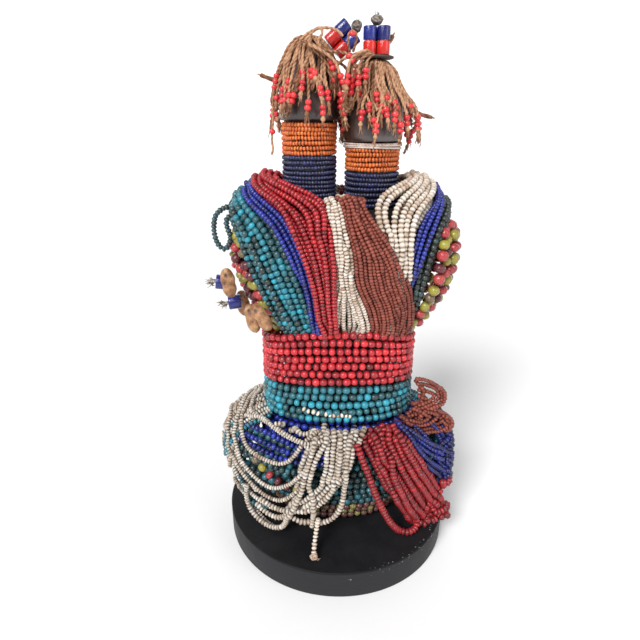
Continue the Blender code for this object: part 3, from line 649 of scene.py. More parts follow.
# Each bundle: its two edges, how it runs, its strands, its beads' radius in mm, how long they are
# for their width, and their sides.
BUNDLES = (
    ("red_shoulder", RED_INNER, RED_OUTER, over_shoulder, 7, 1.68, 0.60, 6),
    ("blue_left", RED_OUTER, BLUE_OUTER, over_shoulder, 3, 1.55, 0.66, 6),
    ("teal_shoulder", BLUE_OUTER, TEAL_OUTER, over_shoulder, 7, 1.92, 0.88, 7),
    ("white_shoulder", WHITE_INNER, WHITE_OUTER, over_shoulder, 7, 1.66, 0.70, 6),
    ("blue_right", WHITE_OUTER, ROYAL_OUTER, over_shoulder, 3, 1.35, 0.78, 6),
    ("green_shoulder", ROYAL_OUTER, GREEN_OUTER, over_shoulder, 4, 1.85, 0.86, 6),
    ("white_front", CENTRE_LEFT, CENTRE_RIGHT, down_the_front, 6, 1.36, 0.64, 6),
    ("terracotta_front", CENTRE_RIGHT, BROWN_OUTER, down_the_front, 12, 1.28, 0.70, 6),
    ("white_back", CENTRE_LEFT, CENTRE_RIGHT, down_the_back, 5, 1.42, 0.64, 5),
    ("terracotta_back", CENTRE_RIGHT, BROWN_OUTER, down_the_back, 10, 1.25, 0.72, 5),
)
PASSED_UNDER = {"white_shoulder": 3.4, "blue_right": 3.2, "green_shoulder": 1.2}
red_glass = glass(
    "red glass", ((0.0, (0.13, 0.010, 0.014)), (0.45, (0.44, 0.016, 0.026)), (1.0, (0.72, 0.028, 0.038)))
)
blue_glass = glass(
    "royal blue glass", ((0.0, (0.009, 0.012, 0.08)), (0.5, (0.014, 0.026, 0.25)), (1.0, (0.03, 0.06, 0.52)))
)
teal_glass = glass(
    "teal glass", ((0.0, (0.025, 0.038, 0.038)), (0.4, (0.025, 0.095, 0.11)), (0.7, (0.025, 0.20, 0.26)),
                   (1.0, (0.025, 0.36, 0.48)))
)
green_glass = glass(
    "grey-green glass",
    ((0.0, (0.014, 0.020, 0.020)), (0.6, (0.026, 0.046, 0.043)), (1.0, (0.045, 0.10, 0.10)))
)
white_glass = glass(
    "off-white glass", ((0.0, (0.46, 0.31, 0.20)), (0.45, (0.80, 0.69, 0.58)), (1.0, (0.93, 0.89, 0.83))),
    roughness=0.42, grime_and_shade=(0.16, 0.09, 0.055), dust_and_shade=0.8, coat=0.1,
)
terracotta_glass = glass(
    "terracotta glass",
    ((0.0, (0.12, 0.024, 0.015)), (0.5, (0.25, 0.052, 0.032)), (1.0, (0.37, 0.085, 0.055))),
    roughness=0.42, dust_and_shade=0.4, coat=0.1,
)
strand_glass = {
    "red": red_glass, "blue": blue_glass, "teal": teal_glass,
    "white": white_glass, "green": green_glass, "terracotta": terracotta_glass,
}
rows, owners = [], []
for name, edge_a, edge_b, lay, count, radius, thickness, sides in BUNDLES:
    under = PASSED_UNDER.get(name, 0.0) * MM
    for path in strand_paths(lay(edge_a), lay(edge_b), count, radius * MM, under):
        rows.append((stepped(path, 2 * radius * thickness * MM), radius * MM))
        owners.append(name)
trunk_wall = wall_of("carved_figure", "left_neck_navy_beads", "right_neck_navy_beads")
settled = settle(rows, 45, 0.03, 0.0, trunk_wall, pinned=3)
for name, _, _, _, _, radius, thickness, sides in BUNDLES:
    colour = name.split("_")[0]
    outline, spread, least, most = (ROUND, 0.42, 0.28, 0.58) if colour == "teal" else (SEED, 0.3, 0.35, 0.7)
    heap = Heap()
    for owner, centres in zip(owners, settled):
        if owner == name:
            tint = mixed_tints(len(centres), spread, chance.uniform(least, most))
            thread_beads(heap, centres, radius * MM, 2 * radius * thickness * MM, tint, outline, sides)
    heap.piece(name + "_bead_strands", strand_glass[colour], colour + "_glass", name + "_strands")


# Older beads of red, olive and maroon glass hang in strings below each shoulder. Tan seed pods and
# two blue tube beads are tied on over them, and one slack strand hangs off the left shoulder.

SIDE_BULGE, SIDE_SWELL, POD_BED = 5.0 * MM, 0.6 * MM, 5.0 * MM
SIDE_BEAD = 3.0 * MM
POD_HOLE, POD_DENT = 1.0 * MM, 1.3 * MM


def side_point(angle, climb, sink):
    """A point of the side strings, which bulge out below the shoulder."""
    return chest_point(angle, climb, sink - SIDE_BULGE * np.sin(2 * np.pi * np.clip(climb, 0, 0.5)))


def axis_of(node):
    """Centre, unit axis, half length and radius of a packed bead or pod."""
    points = np.array([vert.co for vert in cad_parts[node].data.vertices])
    centre = (points.max(axis=0) + points.min(axis=0)) / 2
    _, _, axes = np.linalg.svd(points - points.mean(axis=0), full_matrices=False)
    axis = axes[0] * (1 if axes[0][2] >= 0 else -1)
    reach = (points - centre) @ axis
    centre = centre + axis * (reach.max() + reach.min()) / 2
    off = points - centre
    off = off - np.outer(off @ axis, axis)
    return centre, axis, (reach.max() - reach.min()) / 2, np.linalg.norm(off, axis=1).max()


def pod_skin():
    material, place = new_finish(
        "dried seed pod", (0.34, 0.17, 0.08), 0.5, coat_weight=0.15, coat_roughness=0.35
    )
    blotch = noise(place, 260.0, 5.0, 0.65)
    pit = noise(place, 900.0, 3.0)
    dark = carried(place, "end")
    stops = ((0.30, (0.12, 0.045, 0.02)), (0.50, (0.36, 0.17, 0.075)), (0.70, (0.58, 0.34, 0.17)))
    colour = place.node("ValToRGB", {"stops": stops}, {"Fac": blotch})
    # Painted shade: round the hole the skin is coloured near black.
    place.blend(dark, colour, (0.03, 0.014, 0.008, 1)).feed("Base Color")
    (pit * 0.35 + 0.32).feed("Roughness")
    place.raise_by(blotch * 0.0012 + pit * 0.0003)
    return material


pod_finish = pod_skin()
for node in [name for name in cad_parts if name.startswith("seed_pod")]:
    centre, axis, half, radius = axis_of(node)
    rise = np.linspace(-1, 1, 21)
    waist = 1 - 0.13 * np.exp(-((rise - chance.uniform(-0.2, 0.3)) / 0.22) ** 2) + 0.02 * np.sin(9 * rise)
    width = 0.92 * radius * np.clip(1 - np.abs(rise) ** 2.4, 0.0008, 1) ** 0.5 * waist
    pod = Heap()
    turned(pod, np.stack([width, rise * half], -1), 28, centre, axis, wobble=0.022)
    points = pod.points[0]
    hole = centre + axis * half * 0.62 - (0, radius * 0.75, 0)
    gap = np.linalg.norm(points - hole, axis=1)
    # Round the hole the skin is marked for painted shade and dented in.
    pod.ends[0] = np.clip(1.6 - gap / POD_HOLE, 0, 1)
    points[:, 1] += np.clip(1 - gap / POD_DENT, 0, 1) * 0.9 * MM
    pod.piece(node + "_skin", pod_finish, "seed_pod", node)

mixed_glass = glass(
    "mixed old glass",
    ((0.0, (0.10, 0.016, 0.022)), (0.22, (0.13, 0.02, 0.028)), (0.30, (0.38, 0.035, 0.04)),
     (0.55, (0.46, 0.05, 0.05)), (0.62, (0.24, 0.20, 0.035)), (0.90, (0.38, 0.34, 0.045)),
     (1.0, (0.15, 0.10, 0.07))),
    roughness=0.26, dust_and_shade=0.6,
)


def mixed_run(count):
    """Tints for red and olive beads in turn, with a maroon or brown one now and then."""
    tint = np.where(np.arange(count) % 2 == 0, 0.42, 0.76) + chance.normal(0, 0.05, count)
    odd = chance.random(count)
    tint[odd < 0.16] = 0.1
    tint[odd > 0.94] = 1.0
    return tint


for node, line, last, strings, sink in (
    ("mixed_beads_left", TEAL_OUTER, -128, 10, POD_BED),
    ("mixed_beads_right", GREEN_OUTER, 94, 6, -SIDE_SWELL),
    ("mixed_beads_right_back", ((96, 0), (96, 0.64)), 124, 4, POD_BED),
):
    heap = Heap()
    angles, climbs = np.array(line, float).T
    for k in range(strings):
        share = (k + 0.5) / strings
        climb = np.linspace(0.50 - 0.10 * abs(share - 0.5), 0.015, 40)
        first = np.interp(climb, climbs, angles)
        lean = np.radians(first + (last - first) * share * (0.9 + 0.1 * climb / climb[0]))
        path = stepped(side_point(lean, climb, sink + (0.9 + 0.5 * (k % 2)) * SIDE_BEAD), 1.86 * SIDE_BEAD)
        path = path + chance.normal(0, 0.3 * MM, path.shape)
        thread_beads(heap, path, SIDE_BEAD, 1.75 * SIDE_BEAD, mixed_run(len(path)), ROUND, 8)
    heap.piece(node + "_strings", mixed_glass, "mixed_glass", node)


CORD_LAY = 3.2


def cord_tube(heap, path, radius, tint=0.5, sides=6, taper=1.0, pace=1.0):
    """Adds a cord laid of two strands: a two-lobed tube that turns as it runs, with painted shade between its
    lobes.
    """
    path = stepped(np.asarray(path), pace * radius)
    count = len(path)
    along = unit(np.gradient(path, axis=0))
    side = np.cross(along[0], (0.31, 0.86, 0.40))
    frames = []
    for step in along:
        side = unit(side - step * (side @ step))
        frames.append(side)
    side = np.array(frames)
    other = np.cross(along, side)
    turn = np.linspace(0, 2 * np.pi, sides, endpoint=False)
    twist = np.arange(count)[:, None] * pace * np.pi / CORD_LAY
    lobes = 0.66 + 0.40 * np.abs(np.cos(turn - twist))
    size = radius * lobes * np.linspace(1, taper, count)[:, None]
    out = side[:, None] * (size * np.cos(turn))[..., None] + other[:, None] * (size * np.sin(turn))[..., None]
    # Painted shade: the tint is darker in the grooves between the lobes and lighter on their crests.
    shade = tint + 1.6 * (lobes.ravel() - 0.9) + chance.normal(0, 0.08, count).repeat(sides)
    heap.add((path[:, None] + out).reshape(-1, 3), tube_faces(count, sides), np.clip(shade, 0, 1))


def cord_yarn(name, stops):
    """Hand-laid plant fibre: fine threads along the cord, darker with grease in places."""
    material, place = new_finish(name, stops[1][1], 0.85)
    tint = carried(place, "tint")
    fibre = noise(place, 3200.0, 3.0)
    grease = noise(place, 260.0, 3.0)
    # The tint carries the cord's own tone and the painted shade between its lobes.
    shade = tint * 0.6 + fibre * 0.30 + (grease - 0.36) * 0.7
    place.node("ValToRGB", {"stops": stops}, {"Fac": shade}).feed("Base Color")
    (fibre * 0.3 + 0.65).feed("Roughness")
    place.raise_by(fibre * 0.0004)
    return material


hair_yarn = cord_yarn(
    "tan plant-fibre cord",
    ((0.15, (0.055, 0.019, 0.010)), (0.5, (0.27, 0.110, 0.052)), (0.85, (0.62, 0.35, 0.20)))
)
crown_yarn = cord_yarn(
    "dark knotted cord",
    ((0.15, (0.022, 0.015, 0.012)), (0.5, (0.11, 0.080, 0.065)), (0.85, (0.38, 0.33, 0.29)))
)
knot_yarn = cord_yarn(
    "grey knotted cord",
    ((0.15, (0.040, 0.028, 0.022)), (0.45, (0.20, 0.15, 0.12)), (0.75, (0.60, 0.54, 0.48)))
)
tube_blue = glass(
    "cobalt tube glass",
    ((0.0, (0.008, 0.010, 0.09)), (0.5, (0.011, 0.016, 0.17)), (1.0, (0.022, 0.045, 0.33))),
    roughness=0.22, dust_and_shade=0.3, coat=0.5,
)
TUBE_FOOT = ((0.28, -0.96), (0.30, -1.0), (0.86, -1.0), (0.97, -0.95), (1.0, -0.86))
TUBE_OUTLINE = TUBE_FOOT + tuple((share, -rise) for share, rise in reversed(TUBE_FOOT))
TUBE_HOLE = 0.4


def tube_bead(node, material, slot, tint=0.5, sides=24, way=None):
    """A thick drawn-glass tube bead, its cut ends ground round."""
    centre, axis, half, radius = axis_of(node)
    axis = axis if way is None else unit(way)
    heap = Heap()
    profile = [(share * radius, rise * half) for share, rise in TUBE_OUTLINE]
    turned(heap, profile, sides, centre, axis, wobble=0.012, tint=tint)
    # The rim of the hole is marked for painted shade.
    heap.ends[0] = np.repeat([float(share < TUBE_HOLE) for share, _ in TUBE_OUTLINE], sides)
    heap.piece(node + "_glass", material, slot, node)
    return centre, axis, half


def frayed(heap, foot, way, length, threads, radius, spread):
    """A frayed cord end: a few thin threads that part from each other."""
    way = unit(way)
    for _ in range(threads):
        lean = way + chance.normal(0, spread, 3)
        bend = way + chance.normal(0, spread * 1.5, 3)
        reach = length * chance.uniform(0.6, 1.0)
        steps = (0 * lean, lean * 0.35, lean * 0.6 + bend * 0.2, (lean + bend) * 0.5)
        path = smooth_line([foot + reach * step for step in steps], 12)
        cord_tube(heap, path, radius, chance.uniform(0.2, 0.9), 4, taper=0.3, pace=2.4)


tassels = Heap()
for node, way in (("blue_tube_bead_1", (-1, -0.15, 0.16)), ("blue_tube_bead_2", (-1, -0.2, -0.08))):
    centre, axis, half = tube_bead(node, tube_blue, "blue_glass", way=way)
    for end in (axis, -axis):
        start = centre + end * half * 0.8
        cord_tube(tassels, [start, start + end * 1.4 * MM, start + end * 2.2 * MM], 1.1 * MM, 0.6)
    frayed(tassels, centre + axis * (half + 0.6 * MM), axis - (0, 0, 0.2), 3.8 * MM, 22, 0.6 * MM, 0.6)
tassels.piece("tube_bead_tassels", knot_yarn, "hair_cord")

# The slack strand is followed from these pixels of the photograph, a little before the shoulder's middle.
ARM_LOOP = (
    (241, 203), (232, 206), (223, 208.5), (216, 215), (214, 224), (214.5, 234), (218, 244), (224, 249),
    (229, 245), (230.5, 236), (227, 227), (227, 219), (235, 213),
)
ARM_DEPTH, ARM_BEAD, ARM_STEP = -9, 1.7 * MM, 1.9 * MM
loop = stepped(smooth_line([at_depth(px, py, ARM_DEPTH) for px, py in ARM_LOOP], 160), ARM_STEP)
heap = Heap()
thread_beads(heap, loop, ARM_BEAD, ARM_STEP, chance.uniform(0.1, 0.5, len(loop)), SEED, 9)
heap.piece("slack_shoulder_loop", teal_glass, "green_glass", "left_arm_loop")


# The belt is wound tight round the waist: seven turns of round red beads over five turns of
# teal ones. It bows up at the front and back and sinks at the sides.

BELT_BEAD, BELT_PITCH, BELT_FOOT = 2.13 * MM, 4.38 * MM, 69.8 * MM
ROW_GAP = 0.6 * MM
belt_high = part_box("red_belt")[1]


def belt_size(height):
    """Half the belt's width and depth, the same at every height."""
    return belt_high.x, belt_high.y


def body_rows(heap, top, rows, half_size, bead, pitch, dip, sides, spread):
    """Turns of beads round the body, from a top height down. The dip fades out towards the belt's foot."""
    for row in range(rows):
        height = top - (row + 0.5) * pitch
        turn = np.linspace(0, 2 * np.pi, 721) + chance.uniform(0, 0.3)
        width, depth = half_size(height)
        x, y = oval(turn, width - bead, depth - bead)
        bow = dip * np.cos(2 * turn) * (height - BELT_FOOT) / (BELT_TOP - BELT_FOOT)
        level = height + bow + 0.10 * bead * np.sin(3 * turn + 2 * row)
        ring = stepped(np.stack([x, y, stand_top + level], -1), 2.0 * bead)[:-1]
        ring = ring + chance.normal(0, 0.05 * bead, ring.shape)
        along = np.roll(ring, -1, axis=0) - np.roll(ring, 1, axis=0)
        tint = mixed_tints(len(ring), spread, chance.uniform(0.45, 0.7))
        thread_beads(heap, ring, bead, 1.9 * bead, tint, ROUND, sides, along, 0.05)


top = BELT_TOP
for name, material, count in (("red", red_glass, 7), ("teal", teal_glass, 5)):
    heap = Heap()
    body_rows(heap, top, count, belt_size, BELT_BEAD, BELT_PITCH, BELT_DIP, 9, 0.4)
    heap.piece(name + "_belt_beads", material, name + "_glass", name + "_belt")
    top -= count * BELT_PITCH + ROW_GAP


# Below the belt the hips are wound with older, darker beads of about the belt's size: five turns
# of blue, eight of dark teal and grey, then three of mixed ones down to the stand.

HIPS = ((0.80, 0.83), (0.95, 0.97), (1.00, 1.00), (0.95, 0.90), (0.80, 0.66))
HIP_HALF_WIDTH, HIP_HALF_DEPTH = 50.0 * MM, 36.5 * MM
HIP_TOP, HIP_FOOT, HIP_BEAD = 69.2 * MM, 3.1 * MM, 2.05 * MM
dark_teal = glass(
    "dark teal glass",
    ((0.0, (0.016, 0.022, 0.022)), (0.6, (0.020, 0.060, 0.066)), (1.0, (0.025, 0.15, 0.19)))
)
old_mixed = glass(
    "worn mixed glass", ((0.0, (0.05, 0.02, 0.015)), (0.5, (0.14, 0.05, 0.05)), (0.8, (0.13, 0.10, 0.05)),
                         (1.0, (0.30, 0.26, 0.07)))
)


def hip_size(height):
    """Half the hips' width and depth at a height."""
    return through(HIPS, height / HIP_TOP) * (HIP_HALF_WIDTH, HIP_HALF_DEPTH)


HIP_WRAPS = (("blue", blue_glass, 5), ("teal", dark_teal, 8), ("mixed", old_mixed, 3))
hip_pitch = (HIP_TOP - HIP_FOOT - 2 * ROW_GAP) / sum(count for _, _, count in HIP_WRAPS)
top = HIP_TOP
for name, material, count in HIP_WRAPS:
    heap = Heap()
    body_rows(heap, top, count, hip_size, HIP_BEAD, hip_pitch, 0.0, 7, 0.5)
    heap.piece(name + "_hip_beads", material, name + "_glass", name + "_hip_wrap")
    top -= count * hip_pitch + ROW_GAP


# Loops of strung seed beads are tied on under the belt and hang round the hips: white, red and
# blue at the front, brown at the right side and teal at the back. They stand out from the hips
# and cross each other, and odd strings show between them.

SKIRT = (
    (1.00, 0.71, 0.70), (0.92, 0.87, 0.80), (0.70, 1.00, 0.90),
    (0.42, 1.00, 0.96), (0.16, 0.93, 1.00), (0.03, 0.88, 1.00),
)
SKIRT_HALF_WIDTH, SKIRT_HALF_DEPTH, SKIRT_TOP = 69.5 * MM, 46.0 * MM, 68.7 * MM


def skirt_point(angle, fall, lift):
    """A point of the loops: fall runs from 0 under the belt to 1 at the hem, and lift is outward."""
    height, width, depth = np.moveaxis(through(SKIRT, fall), -1, 0)
    x, y = oval(angle, width * SKIRT_HALF_WIDTH + lift, depth * SKIRT_HALF_DEPTH + lift, 2.0)
    return np.stack(np.broadcast_arrays(x, y, stand_top + height * SKIRT_TOP), -1)


def hanging_loop(start, end, low, reach, lift, fullness):
    """A loop between two angles of the belt's foot, lowest near the angle low, reach down the skirt."""
    share = np.linspace(0, 1, 60)
    swing = np.sin(np.pi * share)
    straight = start + (end - start) * smooth_step(share)
    angle = np.radians(straight + (low - (start + end) / 2) * swing)
    fall = reach * swing**fullness
    tuck = -9 * MM * (1 - smooth_step(fall / 0.12))
    return skirt_point(angle, fall, lift * swing + tuck)


# Where the photograph shows a loop, it is followed from these pixels. The number before them is
# the shell that it lies on, or for the brown ones its layer.
WHITE_MARKS = (
    (1, ((252, 384), (245, 392), (237, 402), (231, 414), (227, 428), (226, 441), (229, 455), (233, 468),
          (238, 482), (246, 494), (254, 507), (262, 515), (269, 523), (281, 527), (287, 521), (293, 510))),
    (2, ((255, 385), (247, 394), (240, 404), (235, 416), (231, 431), (231, 445), (235, 458), (243, 472),
          (254, 485), (266, 495), (281, 500), (291, 495), (300, 488))),
    (2, ((257, 387), (250, 397), (244, 407), (239, 419), (236, 433), (237, 446), (240, 458), (249, 470),
          (259, 480), (271, 487), (283, 486), (295, 480), (305, 468), (311, 455), (318, 441), (322, 428))),
    (3, ((259, 389), (252, 399), (246, 409), (242, 419), (242, 431), (245, 443), (252, 451), (264, 458),
          (278, 463), (288, 461), (296, 453), (301, 445), (310, 436), (318, 431))),
    (2, ((261, 390), (256, 401), (251, 411), (253, 415), (261, 417), (273, 424), (283, 433), (295, 439),
          (305, 445), (311, 448))),
    (1, ((258, 385), (249, 395), (240, 409), (234, 423), (229, 436), (230, 451), (235, 465), (240, 478),
          (251, 492), (261, 500), (273, 507), (286, 510), (301, 508), (315, 504), (328, 495), (338, 483),
          (345, 468), (350, 451), (354, 436), (355, 428))),
    (3, ((246, 415), (256, 415), (266, 419), (278, 428), (286, 434), (300, 441), (311, 445), (322, 441))),
    (3, ((262, 387), (265, 399), (268, 409), (278, 413), (286, 416), (298, 423), (308, 426), (318, 426))),
    (2, ((276, 424), (286, 423), (295, 426), (300, 433), (308, 433), (315, 434))),
    (0, ((251, 385), (243, 395), (235, 407), (229, 421), (225, 433), (225, 448), (229, 461), (235, 475),
         (242, 487))),
    (1, ((256, 389), (248, 400), (241, 411), (236, 424), (234, 438), (235, 451), (241, 465), (249, 478),
         (256, 490))),
    (3, ((322, 426), (318, 436), (313, 448), (310, 461), (306, 477), (301, 490), (296, 502), (291, 512),
          (286, 522), (281, 527), (269, 525), (259, 518), (251, 509), (246, 495), (247, 485))),
    (3, ((328, 426), (325, 438), (320, 451), (313, 463), (308, 475), (307, 485), (313, 494), (314, 504),
          (313, 515), (312, 526))),
    (2, ((332, 425), (328, 439), (327, 455), (328, 468), (327, 478), (320, 488), (311, 495), (305, 500),
         (291, 504))),
    (2, ((338, 425), (338, 439), (338, 455), (338, 468), (336, 480), (332, 490), (323, 499), (311, 505),
          (298, 510), (284, 510), (271, 505), (261, 499))),
    (2, ((345, 425), (345, 439), (344, 455), (341, 470), (337, 482), (328, 488), (318, 500), (305, 507))),
    (3, ((352, 427), (352, 439), (350, 455), (346, 468), (344, 478), (344, 490), (342, 504), (336, 515),
          (327, 521), (313, 524), (301, 522), (291, 517))),
    (3, ((357, 428), (354, 441), (351, 455), (345, 472), (338, 482))),
    (3, ((365, 426), (362, 434), (359, 443))),
    (2, ((318, 428), (310, 441), (305, 455), (302, 468), (298, 485), (295, 499), (291, 507), (286, 515),
          (278, 517), (267, 512), (257, 504))),
    (1, ((325, 428), (327, 441), (318, 455), (311, 468), (306, 482))),
    (3, ((342, 425), (340, 438), (340, 451), (339, 465), (338, 478))),
    (2, ((335, 425), (334, 439), (333, 455), (332, 468), (328, 482))),
)
RED_MARKS = (
    (3, ((357, 445), (362, 458), (369, 475), (375, 492), (381, 505), (388, 518), (396, 527), (406, 533),
          (415, 529), (418, 521), (411, 509), (403, 494), (394, 477), (387, 460), (382, 441), (379, 424))),
    (2, ((369, 428), (375, 445), (381, 460), (387, 477), (396, 494), (406, 510), (416, 521), (426, 523),
          (430, 515), (423, 502), (414, 488), (404, 472), (396, 455), (389, 439), (386, 424))),
    (1, ((362, 433), (371, 448), (376, 456), (379, 465), (386, 482), (394, 495))),
    (3, ((387, 424), (396, 439), (404, 455), (414, 470), (423, 485), (431, 500), (440, 514), (445, 519),
          (444, 510), (435, 495), (426, 482), (418, 468), (408, 453), (398, 436), (393, 426))),
    (2, ((394, 428), (406, 445), (418, 460), (430, 475), (438, 490), (447, 505), (451, 509), (453, 495),
          (456, 478), (457, 468), (452, 461))),
    (3, ((372, 426), (381, 446), (389, 465), (398, 482), (408, 499), (418, 512), (428, 521), (435, 519))),
    (1, ((382, 426), (393, 448), (401, 465), (411, 482), (421, 495), (431, 509), (442, 517))),
    (0, ((398, 431), (411, 448), (425, 465), (436, 482), (443, 495), (445, 504), (448, 488), (453, 472))),
)
BLUE_MARKS = (
    (3, ((393, 424), (404, 436), (416, 448), (430, 460), (443, 468), (455, 470), (464, 466), (465, 461),
          (460, 448), (453, 438), (447, 433))),
    (2, ((398, 426), (409, 436), (423, 448), (436, 456), (450, 461), (462, 463), (466, 460), (462, 450),
         (455, 439))),
    (3, ((403, 426), (416, 434), (430, 443), (445, 450), (458, 454), (470, 457), (465, 448), (458, 436),
         (456, 426))),
    (2, ((401, 441), (411, 455), (425, 465), (438, 472), (448, 475), (455, 472), (458, 465))),
    (2, ((445, 406), (453, 411), (459, 423), (462, 436), (467, 451), (470, 456))),
    (3, ((448, 407), (447, 417), (448, 431), (453, 445), (464, 460))),
    (2, ((453, 424), (450, 434), (443, 441), (438, 451), (435, 458))),
    (1, ((396, 428), (408, 445), (421, 456), (435, 466), (447, 472), (458, 468))),
    (2, ((406, 428), (421, 439), (436, 450), (452, 458), (464, 461))),
)
BROWN_MARKS = (
    (0.5, ((396, 421), (404, 427.5), (413, 432), (424, 429.5), (438, 427.5), (449, 430.5), (456, 428),
           (455, 421), (448, 416), (439, 411), (430, 409))),
    (0.0, ((401, 417), (411, 424), (421, 426), (431, 422.5), (438, 417), (435, 412), (426, 411),
           (419, 414), (421, 419))),
    (0.0, ((417, 379), (426, 380), (436, 385), (445, 390), (448, 397), (445, 404), (436, 407), (428, 409))),
    (0.5, ((418, 384), (428, 385), (438, 390), (441, 395.5), (436, 400.5), (428, 406), (419, 409))),
    (1.0, ((419, 390), (428, 392), (435, 395.5), (431, 400.5), (423, 404), (416, 407))),
    (0.5, ((443, 392), (446, 399), (440, 405.5), (430, 410.5), (418, 412.5), (409, 416))),
    (0.5, ((446, 416), (453, 418), (457, 422.5), (455, 427), (448, 424), (442, 418))),
    (1.0, ((416, 381), (422, 388), (424, 396), (422, 404), (417, 411), (410, 417))),
    (0.0, ((405, 421), (414, 422), (424, 421), (430, 416.5), (427, 413), (420, 411), (414, 409))),
    (1.0, ((419, 396), (425, 398), (428, 402), (424, 407), (416, 411), (408, 414))),
    (1.0, ((414, 404), (424, 407), (434, 411), (441, 415), (444, 421), (438, 424), (428, 422), (416, 418))),
    (0.0, ((398, 424), (407, 431), (417, 434), (428, 432), (440, 431), (450, 428))),
)


def skirt_shell(lift):
    """The skirt's surface at a lift and the stand's top in front of it, for loops to be traced on."""
    angles = np.radians(np.arange(-180, 181, 4))
    falls = np.linspace(0, 1, 25)
    grid = skirt_point(angles[:, None], falls[None, :], lift)
    corners = grid.reshape(-1, 3).tolist()
    wide = len(falls)
    faces = [(a * wide + b, (a + 1) * wide + b, (a + 1) * wide + b + 1, a * wide + b + 1)
             for a in range(len(angles) - 1) for b in range(wide - 1)]
    level = stand_top + LYING
    corners += [(-rim, -rim, level), (rim, -rim, level), (rim, TOP_BACK, level), (-rim, TOP_BACK, level)]
    faces.append(tuple(range(len(corners) - 4, len(corners))))
    return BVHTree.FromPolygons([Vector(corner) for corner in corners], faces)


# Beads that lie on the stand are traced at LYING above it, as far back as TOP_BACK. Pixels past
# SKIRT_EDGE are drawn in, and loops that start left of SMALL_SIDE have smaller beads.
LYING, TOP_BACK = 1.9 * MM, -20 * MM
SKIRT_EDGE, SKIRT_SQUEEZE, WIDEST = 452, 0.6, 68.5 * MM
SMALL_SIDE = 262
shells = [skirt_shell(lift * MM) for lift in (-1.5, 0.0, 1.5, 3.0)]
loops = []


def add_marks(name, traces, radius, thickness):
    """Loops that follow pixels, drawn in at the right edge, with smaller beads at the far left."""
    for depth, marks in traces:
        marks = [(min(px, SKIRT_EDGE + SKIRT_SQUEEZE * (px - SKIRT_EDGE)), py) for px, py in marks]
        size = radius * (0.80 if marks[0][0] < SMALL_SIDE else 1.0) * MM
        loops.append((name, stepped(traced(marks, shells[depth]), 2 * size * thickness), size, thickness))


def add_loops(name, count, radius, thickness, fullness, *spans):
    """Loops laid by rule. A span is the first loop's value, its change up to the last loop and its spread,
    for the angles of the start, the end and the lowest point, the reach down the skirt and the lift in mm."""
    for k in range(count):
        start, end, low, reach, lift = (
            first + change * k / (count - 1) + chance.normal(0, spread) for first, change, spread in spans
        )
        path = hanging_loop(start, end, low, reach, lift * MM, fullness)
        loops.append((name, stepped(path, 2 * radius * thickness * MM), radius * MM, thickness))


add_marks("white", WHITE_MARKS, 1.74, 0.60)
add_loops(
    "white", 15, 1.40, 0.62, 0.5, (-62, -60, 6), (-85, -75, 8), (-75, -66, 6), (0.66, 0, 0.15), (0.5, 0, 1.5)
)
add_loops(
    "white", 7, 1.40, 0.62, 0.5, (-120, -40, 5), (-150, -20, 5), (-135, -30, 5), (0.7, 0, 0.1), (0, 0, 1)
)
add_marks("red", RED_MARKS, 2.25, 0.50)
add_marks("blue", BLUE_MARKS, 1.55, 0.72)
add_loops("blue", 7, 1.40, 0.74, 0.45, (60, 20, 3), (72, 16, 3), (78, 12, 3), (0.55, 0, 0.08), (0, 0, 1))
add_loops("back", 26, 1.5, 0.74, 0.45, (98, 74, 4), (106, 74, 5), (102, 76, 4), (0.80, 0, 0.08), (0, 0, 1.2))
add_loops(
    "back", 9, 1.5, 0.74, 0.45, (-64, -44, 4), (-78, -44, 5), (-70, -46, 4), (0.60, 0, 0.12), (-1, 0, 0.6)
)
# The skirt's glass is coloured darker than the strands' glass: partly dirt, partly painted shade under the
# belt and between the loops.
soiled_shaded_white = glass(
    "soiled and shaded white glass", ((0.0, (0.26, 0.17, 0.11)), (0.45, (0.56, 0.47, 0.38)), (1.0, (0.84, 0.80, 0.74))),
    roughness=0.45, grime_and_shade=(0.09, 0.055, 0.035), dust_and_shade=1.0, coat=0.05,
)
soiled_shaded_red = glass(
    "soiled and shaded red glass",
    ((0.0, (0.07, 0.006, 0.009)), (0.45, (0.25, 0.010, 0.017)), (1.0, (0.54, 0.022, 0.030))),
    roughness=0.34, coat=0.2,
)
soiled_shaded_blue = glass(
    "soiled and shaded blue glass",
    ((0.0, (0.006, 0.008, 0.045)), (0.5, (0.009, 0.016, 0.14)), (1.0, (0.02, 0.045, 0.40))),
    roughness=0.34, coat=0.2,
)
hip_wall = wall_of("blue_hip_wrap", "teal_hip_wrap", "mixed_hip_wrap", "teal_belt", "carved_figure")
rows = [(centres, radius) for _, centres, radius, _ in loops]
settled = settle(rows, 50, 0.04, 0.04 * MM, hip_wall, floor=stand_top)
for centres in settled:
    centres[:, 0] = np.minimum(centres[:, 0], WIDEST + 0.5 * (centres[:, 0] - WIDEST))
for name, material, slot in (
    ("white", soiled_shaded_white, "white_glass"), ("red", soiled_shaded_red, "red_glass"),
    ("blue", soiled_shaded_blue, "blue_glass"), ("back", teal_glass, "mixed_glass"),
):
    heap = Heap()
    for (owner, _, radius, thickness), centres in zip(loops, settled):
        if owner == name:
            tint = mixed_tints(len(centres), 0.3, chance.uniform(0.4, 0.75))
            thread_beads(heap, centres, radius, 2 * radius * thickness, tint)
    heap.piece(name + "_loops_of_beads", material, slot, name + "_skirt_loops")

